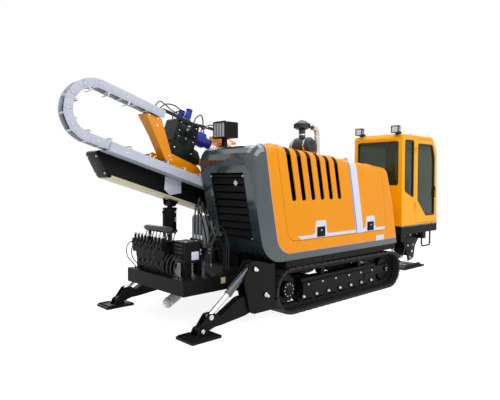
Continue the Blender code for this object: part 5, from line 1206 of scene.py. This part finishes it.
# wrapped hose cover: matt black with a fine cloth imprint
hose_rubber = moulded('hose cover rubber', '#161617', '#1F1F20', 0.55, 260.0)
repaint(grey_nylon, 'chain_tray')
sides = bmesh.new()
bars = bmesh.new()
knobs = bmesh.new()
count = round(sum(CHAIN_RUNS) / CHAIN_PITCH)
for index in range(count):
    u, w, heading = chain_spot((index + 0.5) * sum(CHAIN_RUNS) / count)
    turn = Matrix.Translation((u, 0, w)) @ Matrix.Rotation(-heading, 4, 'Y')
    link = oblong((-0.060, -CHAIN_HALF), (0.060, CHAIN_HALF))
    lapped = 0.006 if index % 2 else 0.0
    for v in (CHAIN_SIDES[0] + 0.012 + lapped, CHAIN_SIDES[1] + lapped - 0.006):
        plate(sides, link, 0.012, turn @ Matrix.Translation((0, v, 0)) @ Matrix.Rotation(math.pi / 2, 4, 'X'),
              0.020, 0.003)
    for w_bar in (-0.050, 0.050) if index % 2 else ():
        block(bars, (-0.014, CHAIN_SIDES[0] + 0.010, w_bar - 0.006),
              (0.014, CHAIN_SIDES[1] - 0.010, w_bar + 0.006), 0.003, 1, turn)
    # every third link carries a white rung, which stands out inside the loop
    if index % 3 == 0 and (w < 0.6 or u < 0.3):
        block(bars, (-0.012, CHAIN_SIDES[0] - 0.002, -0.098), (0.012, CHAIN_SIDES[0] + 0.018, -0.050),
              0.003, 1, turn)
        block(bars, (-0.012, CHAIN_SIDES[0] + 0.002, -0.099), (0.012, CHAIN_SIDES[1] - 0.004, -0.089),
              0.003, 1, turn)
    turned(knobs, [(0, 0), (0, 0.014), (0.003, 0.012), (0.003, 0)],
           turn @ Vector((-0.048, CHAIN_SIDES[0] + lapped, 0)), (0, -1, 0), 10)
chain = settle('chain_links', sides, 'chain', grey_nylon, BEAM)
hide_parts('drag_chain')
settle('chain_bars', bars, 'chain', white_nylon, BEAM)
settle('chain_knobs', knobs, 'chain', white_nylon, BEAM)
for number, v in enumerate(CHAIN_HOSE_VS):
    spots = []
    for step in range(28):
        u, w, _ = chain_spot(0.02 + step * (sum(CHAIN_RUNS) - 0.04) / 27)
        spots.append((u, v, w))
    hose('chain_hose_%d' % (number + 1), 'chain', 0.038, spots, BEAM, 4, None)

# Lift cylinder
# A short stout cylinder stands on the platform and holds the beam's rear: a black barrel
# with a bolted gland, a ground chromium rod, and a port pipe clamped along it.
LIFT = Matrix.Translation((-2.2472, 0.38, 1.600)) @ Matrix.Rotation(math.pi, 4, 'X')
repaint(black_enamel, 'lift_barrel')
repaint(hard_chrome, 'lift_rod')
gland = bmesh.new()
turned(gland, [(0.40, 0.098), (0.40, 0.112), (0.437, 0.112), (0.444, 0.104), (0.444, 0.046)], (0, 0, 0),
       (0, 0, 1), 32)
turned(gland, [(0.075, 0.09), (0.075, 0.108), (0.100, 0.108), (0.100, 0.09)], (0, 0, 0), (0, 0, 1), 32)
between(gland, (-0.118, 0, 0.11), (-0.118, 0, 0.40), 0.010)
for z in (0.13, 0.39):
    between(gland, (-0.085, 0, z), (-0.132, 0, z), 0.018)
settle('lift_gland', gland, 'lift_cylinder', black_enamel, LIFT)
ring_bolts = bmesh.new()
for a, b in circle(8, 0.082):
    bolt(ring_bolts, (a, b, 0.444), (0, 0, 1), 0.016)
settle('gland_bolts', ring_bolts, 'lift_cylinder', zinc_plate, LIFT)
strips = bmesh.new()
for low, high in ((0.11, 0.15), (0.21, 0.28)):
    block(strips, (0.0995, -0.022, low), (0.1020, 0.022, high), 0.0008, 1,
          Matrix.Rotation(math.radians(66), 4, 'Z'))
settle('column_strips', strips, 'lift_cylinder', cream_enamel, LIFT)

# Carriage
# The carriage slides on a yellow welded saddle. A dark cast gearbox stands on it under two
# blue thrust motors, with the blue spindle motor ahead, and fittings and hoses all round.
repaint(yellow_enamel, 'carriage_saddle', 'chain_arm')
# spray enamel on the bought-in motors: a deep clear blue
blue_enamel = enamel('blue enamel', '#0E2CB8', '#0B249C', 0.30, 0.5)
repaint(blue_enamel, 'rotation_motor', 'thrust_motor_right', 'thrust_motor_left')
gear_enamel = enamel('gearbox enamel', '#16201F', '#101918', 0.42, 0.1)
repaint(gear_enamel, 'gearbox')
repaint(machined_steel, 'spindle')
# height of the drill pipe's line, measured square to the beam
AXIS_W = 0.42
GEAR_FACE = -0.1255
LOW_COVER, HIGH_COVER = 0.014, 0.010
GEAR_RIGHT = facing_right(GEAR_FACE)
THRUST_VS = (-0.07, 0.13)
gear = bmesh.new()
plate(gear, oblong((1.13, 0.24), (1.47, 0.66)), LOW_COVER, GEAR_RIGHT, 0.05, 0.004)
plate(gear, oblong((1.13, 0.70), (1.47, 0.88)), HIGH_COVER, GEAR_RIGHT, 0.03, 0.003)
for w in (0.30, 0.42, 0.54):
    block(gear, (1.052, -0.10, w - 0.008), (1.075, 0.17, w + 0.008), 0.003)
turned(gear, [(0, 0.10), (0, 0.185), (0.02, 0.185), (0.03, 0.17)], (1.465, 0, AXIS_W), (1, 0, 0), 36)
for v in THRUST_VS:
    turned(gear, [(-0.002, 0.05), (-0.002, 0.072), (0.012, 0.072), (0.016, 0.062)], (1.28, v, 0.92),
           (0, 0, 1), 28)
settle('gearbox_covers', gear, 'carriage', gear_enamel, BEAM)
gear_bolts = bmesh.new()
for u, w in ((1.16, 0.27), (1.30, 0.26), (1.44, 0.27), (1.46, 0.45), (1.44, 0.63), (1.30, 0.64), (1.16, 0.63),
             (1.14, 0.45)):
    bolt(gear_bolts, (u, GEAR_FACE - LOW_COVER, w), (0, -1, 0), 0.020)
for u, w in ((1.155, 0.725), (1.445, 0.725), (1.445, 0.855), (1.155, 0.855)):
    bolt(gear_bolts, (u, GEAR_FACE - HIGH_COVER, w), (0, -1, 0), 0.016)
for a, b in circle(12, 0.168):
    bolt(gear_bolts, (1.485, a, AXIS_W + b), (1, 0, 0), 0.016)
for index in range(5):
    for v, out in ((-0.165, -1), (0.25, 1)):
        bolt(gear_bolts, (0.95 + index * 0.19, v, 0.11), (0, out, 0), 0.026)
for v in (-0.10, 0.10):
    for w in (0.16, 0.60, 0.76):
        bolt(gear_bolts, (2.20, v * 1.2, w), (1, 0, 0), 0.022)
for (a, b), (c, d) in zip(circle(6, 0.088, 0.5), circle(6, 0.060, 0.5)):
    bolt(gear_bolts, (1.53, 0.02 + a, 0.76 + b), (1, 0, 0), 0.016)
    for v in THRUST_VS:
        bolt(gear_bolts, (1.28 + c, v + d, 0.936), (0, 0, 1), 0.010)
for u, w in ((0.50, 0.68), (0.64, 0.68), (0.66, 0.58), (0.97, 0.24), (1.02, 0.20)):
    bolt(gear_bolts, (u, -0.34, w), (0, -1, 0), 0.018)
settle('carriage_bolts', gear_bolts, 'carriage', zinc_plate, BEAM)
motor_ends = bmesh.new()
turned(motor_ends, [(0, 0.079), (0, 0.084), (0.016, 0.084), (0.020, 0.076), (0.024, 0.030), (0.024, 0)],
       (1.832, 0.02, 0.76), (1, 0, 0), 28)
block(motor_ends, (1.595, -0.045, 0.84), (1.725, 0.085, 0.876), 0.006, 2)
for v in THRUST_VS:
    turned(motor_ends, [(0, 0.039), (0, 0.050), (0.006, 0.053), (0.014, 0.050), (0.017, 0.020), (0.017, 0)],
           (1.28, v, 1.096), (0, 0, 1), 24)
    block(motor_ends, (1.226, v - 0.035, 0.985), (1.26, v + 0.035, 1.065), 0.006, 2)
settle('motor_covers', motor_ends, 'carriage', blue_enamel, BEAM)
joints = bmesh.new()
for v in (-0.010, 0.050):
    bolt(joints, (1.63, v, 0.876), (0, 0, 1), 0.034)
    bolt(joints, (1.70, v, 0.876), (0, 0, 1), 0.030)
for v in THRUST_VS:
    for w in (1.005, 1.045):
        bolt(joints, (1.226, v, w), (-1, 0, 0), 0.028)
for w in (0.78, 0.84):
    bolt(joints, (1.30, GEAR_FACE - HIGH_COVER, w), (0, -1, 0), 0.036)
turned(joints, [(0, 0), (0, 0.03), (0.05, 0.03), (0.06, 0.018), (0.10, 0.018), (0.10, 0)],
       (1.56, -0.11, 0.92), (0.3, -1, 0.2), 18)
block(joints, (2.00, -0.152, 0.84), (2.18, -0.149, 0.91), 0.001)
settle('carriage_fittings', joints, 'carriage', zinc_plate, BEAM)
BUNDLE = ((0.62, -0.13, 0.700), (0.66, -0.13, 0.80), (0.76, -0.14, 0.88), (0.92, -0.16, 0.89),
          (1.10, -0.16, 0.885), (1.30, -0.17, 0.88), (1.52, -0.16, 0.92), (1.76, -0.14, 0.965),
          (1.95, -0.12, 0.975), (2.07, -0.10, 0.945))
for number, (across, up) in enumerate(((-0.024, 0.012), (0.0, -0.010), (0.022, 0.014))):
    spots = [(u, v + across, w + up) for u, v, w in BUNDLE]
    made = hose('bundle_hose_%d' % (number + 1), 'carriage', 0.022, spots, BEAM)
    if number == 0:
        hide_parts('hose_bundle')
# diameter and points of each motor hose
MOTOR_HOSES = (
    (0.018, ((0.66, -0.20, 0.700), (0.68, -0.20, 0.82), (0.80, -0.16, 0.98), (0.98, -0.10, 1.05),
             (1.12, -0.07, 1.045), (1.205, -0.07, 1.045))),
    (0.018, ((0.58, -0.24, 0.705), (0.60, -0.24, 0.84), (0.72, -0.12, 1.00), (0.92, 0.06, 1.06),
             (1.11, 0.13, 1.045), (1.205, 0.13, 1.045))),
    (0.018, ((1.205, -0.07, 1.005), (1.09, -0.085, 1.00), (0.98, -0.14, 0.90), (1.00, -0.20, 0.74),
             (1.10, -0.21, 0.62), (1.20, -0.16, 0.56), (1.22, -0.139, 0.54))),
    (0.020, ((1.70, 0.03, 0.885), (1.71, 0.03, 1.00), (1.82, 0.02, 1.08), (1.96, -0.02, 1.05),
             (2.04, -0.06, 0.99), (2.06, -0.06, 0.93))),
    (0.020, ((1.63, 0.0, 0.885), (1.62, -0.02, 1.02), (1.50, -0.10, 1.10), (1.38, -0.16, 1.02),
             (1.33, -0.19, 0.90), (1.30, -0.19, 0.80), (1.28, -0.160, 0.72), (1.27, -0.137, 0.70))),
)
for index, (diameter, points) in enumerate(MOTOR_HOSES):
    hose('motor_hose_%d' % (index + 1), 'carriage', diameter, points, BEAM)

# Vises
# Two vises grip the drill pipe at the low end. Each has two clamping cylinders with bolted
# caps, and the front one has a machined collar round the pipe's way on both of its faces.
repaint(black_enamel, 'vise_front', 'vise_cradle')
repaint(gear_enamel, 'vise_breakout')
# name, body, distance along the beam, reach of its cylinders, their radius
VISES = (
    ('front', 'drill_frame', 6.27, 0.30, 0.085),
    ('breakout', 'breakout', 5.84, 0.32, 0.070),
)
for name, body, u, reach, radius in VISES:
    covers = bmesh.new()
    heads = bmesh.new()
    for side in (-1, 1):
        turned(covers, [(-0.03, radius + 0.006), (0.0, radius + 0.006), (0.006, radius),
                        (0.012, radius * 0.6), (0.012, 0)], (u, side * reach, AXIS_W), (0, side, 0), 28)
        for a, b in circle(6, radius * 0.78):
            bolt(heads, (u + a, side * (reach + 0.006), AXIS_W + b), (0, side, 0), 0.018)
    settle('vise_covers_' + name, covers, body, black_enamel, BEAM)
    settle('vise_bolts_' + name, heads, body, zinc_plate, BEAM)
collars = bmesh.new()
for u, out in ((6.12, -1), (6.42, 1)):
    turned(collars, [(0, 0.088), (0, 0.125), (0.012, 0.125), (0.018, 0.112), (0.018, 0.088), (0, 0.088)],
           (u, 0, AXIS_W), (out, 0, 0), 32)
    for v in (-0.16, 0.16):
        for w in (0.08, 0.60):
            bolt(collars, (u, v, w), (out, 0, 0), 0.026)
settle('vise_collars', collars, 'drill_frame', machined_steel, BEAM)
VISE_HOSES = (
    ((6.20, -0.20, 0.56), (6.16, -0.30, 0.60), (6.00, -0.40, 0.42), (5.86, -0.42, 0.16),
     (5.78, -0.36, -0.02), (5.72, -0.24, -0.12), (5.70, -0.152, -0.14)),
    ((6.34, -0.20, 0.56), (6.38, -0.30, 0.56), (6.36, -0.38, 0.36), (6.24, -0.40, 0.10),
     (6.10, -0.34, -0.06), (6.02, -0.24, -0.14), (6.00, -0.152, -0.16)),
)
for index, points in enumerate(VISE_HOSES):
    hose('vise_hose_%d' % (index + 1), 'drill_frame', 0.016, points, BEAM)

# Front foot
# The foot plate is thick plate with welded ribs, dogged to the ground through two steel
# rings. It hangs on a pin with turned ends at the beam's low end.
FOOT_RING_X = 3.50
repaint(black_enamel, 'front_foot')
rings = bmesh.new()
for y in (-0.25, 1.0):
    turned(rings, [(0, 0.121), (0, 0.150), (0.014, 0.150), (0.020, 0.142), (0.020, 0.121), (0, 0.121)],
           (FOOT_RING_X, y, 0.0395), (0, 0, 1), 36)
    for a, b in circle(6, 0.136):
        bolt(rings, (FOOT_RING_X + a, y + b, 0.0595), (0, 0, 1), 0.012)
settle('foot_rings', rings, 'foot', machined_steel)

# Rear platform fittings
# The valve bank and the relay block carry bright spool caps, levers and unions, and black
# hoses loop between them, the hood and the deck. An accumulator lies across the bank.
BANK_FIRST_Y = -0.169
BANK_PITCH = 0.092
RELAY_X = -2.44
PORT_Z = 0.642
repaint(black_enamel, 'valve_bank', 'valve_cluster')
bank_ends = bmesh.new()
bank_dark = bmesh.new()
for index in range(9):
    y = BANK_FIRST_Y + index * BANK_PITCH
    bolt(bank_ends, (-2.87, y, 1.160), (0, 0, 1), 0.036)
    bolt(bank_dark, (-2.91, y, 1.045), (-1, 0, 0), 0.034)
    bolt(bank_dark, (-2.76, y, 1.100), (0, 0, 1), 0.022)
    between(bank_dark, (-2.70, y, 1.095), (-2.672, y, 1.200), 0.007)
    turned(bank_dark, [(0, 0.008), (0.01, 0.015), (0.03, 0.017), (0.042, 0.010), (0.044, 0)],
           (-2.672, y, 1.195), (0.27, 0, 1), 14)
for index in range(6):
    bolt(bank_ends, (-2.66, -0.10 + index * 0.12, 0.86), (1, 0, 0), 0.030)
    bolt(bank_dark, (-2.84, -0.10 + index * 0.12, 0.78), (-1, 0, 0), 0.038)
turned(bank_dark, [(0, 0), (0.004, 0.020), (0.03, 0.040), (0.06, 0.046), (0.60, 0.046), (0.66, 0.036),
                   (0.70, 0.012), (0.72, 0.010), (0.72, 0)], (-2.79, -0.26, 1.262), (0, 1, 0), 26)
for y in (-0.10, 0.28):
    block(bank_dark, (-2.81, y, 1.10), (-2.77, y + 0.03, 1.225), 0.004)
for index in range(4):
    y = -0.47 + index * 0.075
    turned(bank_dark, [(0, 0.026), (0.004, 0.031), (0.050, 0.031), (0.054, 0.026)], (RELAY_X, y, 1.068),
           (0, 0, 1), 18)
    bolt(bank_ends, (RELAY_X, y, 1.128), (0, 0, 1), 0.026)
for index in range(5):
    z = 0.865 + index * 0.05
    block(bank_dark, (-2.785, -0.50, z), (-2.778, -0.30, z + 0.02), 0.003)
for x, y in ((-2.74, -0.52), (-2.57, -0.52), (-2.74, -0.28), (-2.57, -0.28)):
    bolt(bank_ends, (x, y, 1.12), (0, 0, 1), 0.020)
for z in (0.94, 0.99):
    bolt(bank_ends, (-2.36, -0.52, z), (0, -1, 0), 0.030)
    bolt(bank_ends, (-2.50, -0.52, z), (0, -1, 0), 0.030)
settle('bank_controls', bank_dark, 'machine', cleaner_plastic)
settle('bank_unions', bank_ends, 'machine', zinc_plate)
blank_plates = bmesh.new()
plate(blank_plates, oblong((-2.675, 0.875), (-2.555, 0.985)), 0.002, facing_right(-0.5605), 0.006, 0.0006)
settle('relay_plate', blank_plates, 'machine', white_film)
for index in range(6):
    y = BANK_FIRST_Y + (index * 1.6) * BANK_PITCH
    hose('bank_hose_%d' % (index + 1), 'machine', 0.014, (
        (-2.916, y, 1.045), (-2.965, y, 1.04), (-3.02, y, 0.96), (-3.00, y + 0.01, 0.84),
        (-2.93, y + 0.02, 0.75), (-2.87, y + 0.02, 0.685), (-2.86, y + 0.02, PORT_Z)))
x = RELAY_X
for index, (y, top) in enumerate(((-0.47, 1.60), (-0.395, 1.66), (-0.32, 1.56))):
    hose('riser_hose_%d' % (index + 1), 'machine', 0.024, (
        (x, y, 1.14), (x, y, 1.28), (x + 0.005, y, top - 0.12), (x + 0.06, y + 0.06, top),
        (x + 0.20, y + 0.22, top + 0.02), (x + 0.34, y + 0.34, top - 0.10), (x + 0.42, y + 0.36, top - 0.28),
        (x + 0.46, y + 0.34, top - 0.50), (x + 0.44, y + 0.32, top - 0.72), (x + 0.40, y + 0.30, 0.66)),
         crimped=zinc_plate)
for index, (y, high) in enumerate(((-0.66, 1.22), (-0.61, 1.30), (-0.56, 1.12))):
    hose('grille_hose_%d' % (index + 1), 'machine', 0.022, (
        (RELAY_X, y, PORT_Z), (RELAY_X, y, 0.80), (-2.42, y - 0.01, high - 0.16), (-2.32, y - 0.02, high),
        (-2.19, y - 0.02, high - 0.02), (-2.11, y, high - 0.18), (-2.10, y + 0.01, 0.82),
        (-2.10, y + 0.01, PORT_Z)))
for index in range(4):
    y = -0.49 + index * 0.09
    hose('relay_hose_%d' % (index + 1), 'machine', 0.016, (
        (-2.785, y, 0.93), (-2.83, y, 0.92), (-2.90, y - 0.01, 0.84), (-2.91, y - 0.01, 0.74),
        (-2.86, y, 0.67), (-2.82, y, PORT_Z)))

# Canister and hoses under the cab
# A white filter can hangs below the platform on a strap. Two hoses drop from the cab's tub
# and go back into the deck, beside a bolted bracket.
white_enamel = enamel('white enamel', '#E4E6EA', '#DADCE1', 0.30, 0.4)
repaint(white_enamel, 'canister')
can = bmesh.new()
low, high = Vector((-2.86, -0.20, 0.235)), Vector((-2.60, -0.20, 0.375))
run = (high - low).normalized()
for along in (0.06, 0.22):
    hoop(can, 0, 0.014, 0.0695, 0.0735, low + run * along, run, 28)
turned(can, [(-0.020, 0), (-0.020, 0.022), (0.0, 0.026), (0.004, 0.05)], low, run, 20)
settle('canister_bands', can, 'machine', zinc_plate)
under = bmesh.new()
HANGER = [(2.02, 0.918), (2.74, 0.918), (2.70, 0.78), (2.56, 0.64), (2.50, 0.40), (2.28, 0.34), (2.20, 0.60),
          (2.06, 0.74)]
for y in (-0.70, -0.96):
    plate(under, HANGER, 0.012, facing_right(y), 0.02, 0.003)
block(under, (2.08, -0.955, 0.76), (2.66, -0.70, 0.905), 0.010, 2)
block(under, (2.24, -0.955, 0.46), (2.50, -0.70, 0.72), 0.012, 2)
for z in (0.52, 0.60, 0.68):
    turned(under, [(0, 0.03), (0.04, 0.03), (0.046, 0.024), (0.046, 0)], (2.24, -0.84, z), (-1, 0, 0), 18)
settle('cab_bracket', under, 'machine', black_enamel)
under_bolts = bmesh.new()
for x, z in ((2.12, 0.87), (2.34, 0.87), (2.62, 0.87), (2.26, 0.66), (2.46, 0.66), (2.34, 0.42)):
    bolt(under_bolts, (x, -0.972, z), (0, -1, 0), 0.030)
turned(under_bolts, [(0, 0), (0, 0.024), (0.03, 0.024), (0.034, 0.018), (0.034, 0)], (2.38, -0.972, 0.54),
       (0, -1, 0), 18)
settle('bracket_bolts', under_bolts, 'machine', zinc_plate)
for index, (x, y, deep) in enumerate(((2.12, -1.00, 0.50), (2.20, -0.94, 0.44))):
    hose('cab_hose_%d' % (index + 1), 'machine', 0.022, (
        (x, y, 0.918), (x, y, 0.80), (x - 0.02, y, deep + 0.12), (x - 0.10, y + 0.01, deep),
        (x - 0.24, y + 0.02, deep + 0.02), (x - 0.36, y + 0.04, deep + 0.12), (x - 0.48, y + 0.05, 0.72),
        (1.52, y + 0.05, 0.745), (1.476, y + 0.05, 0.748)))
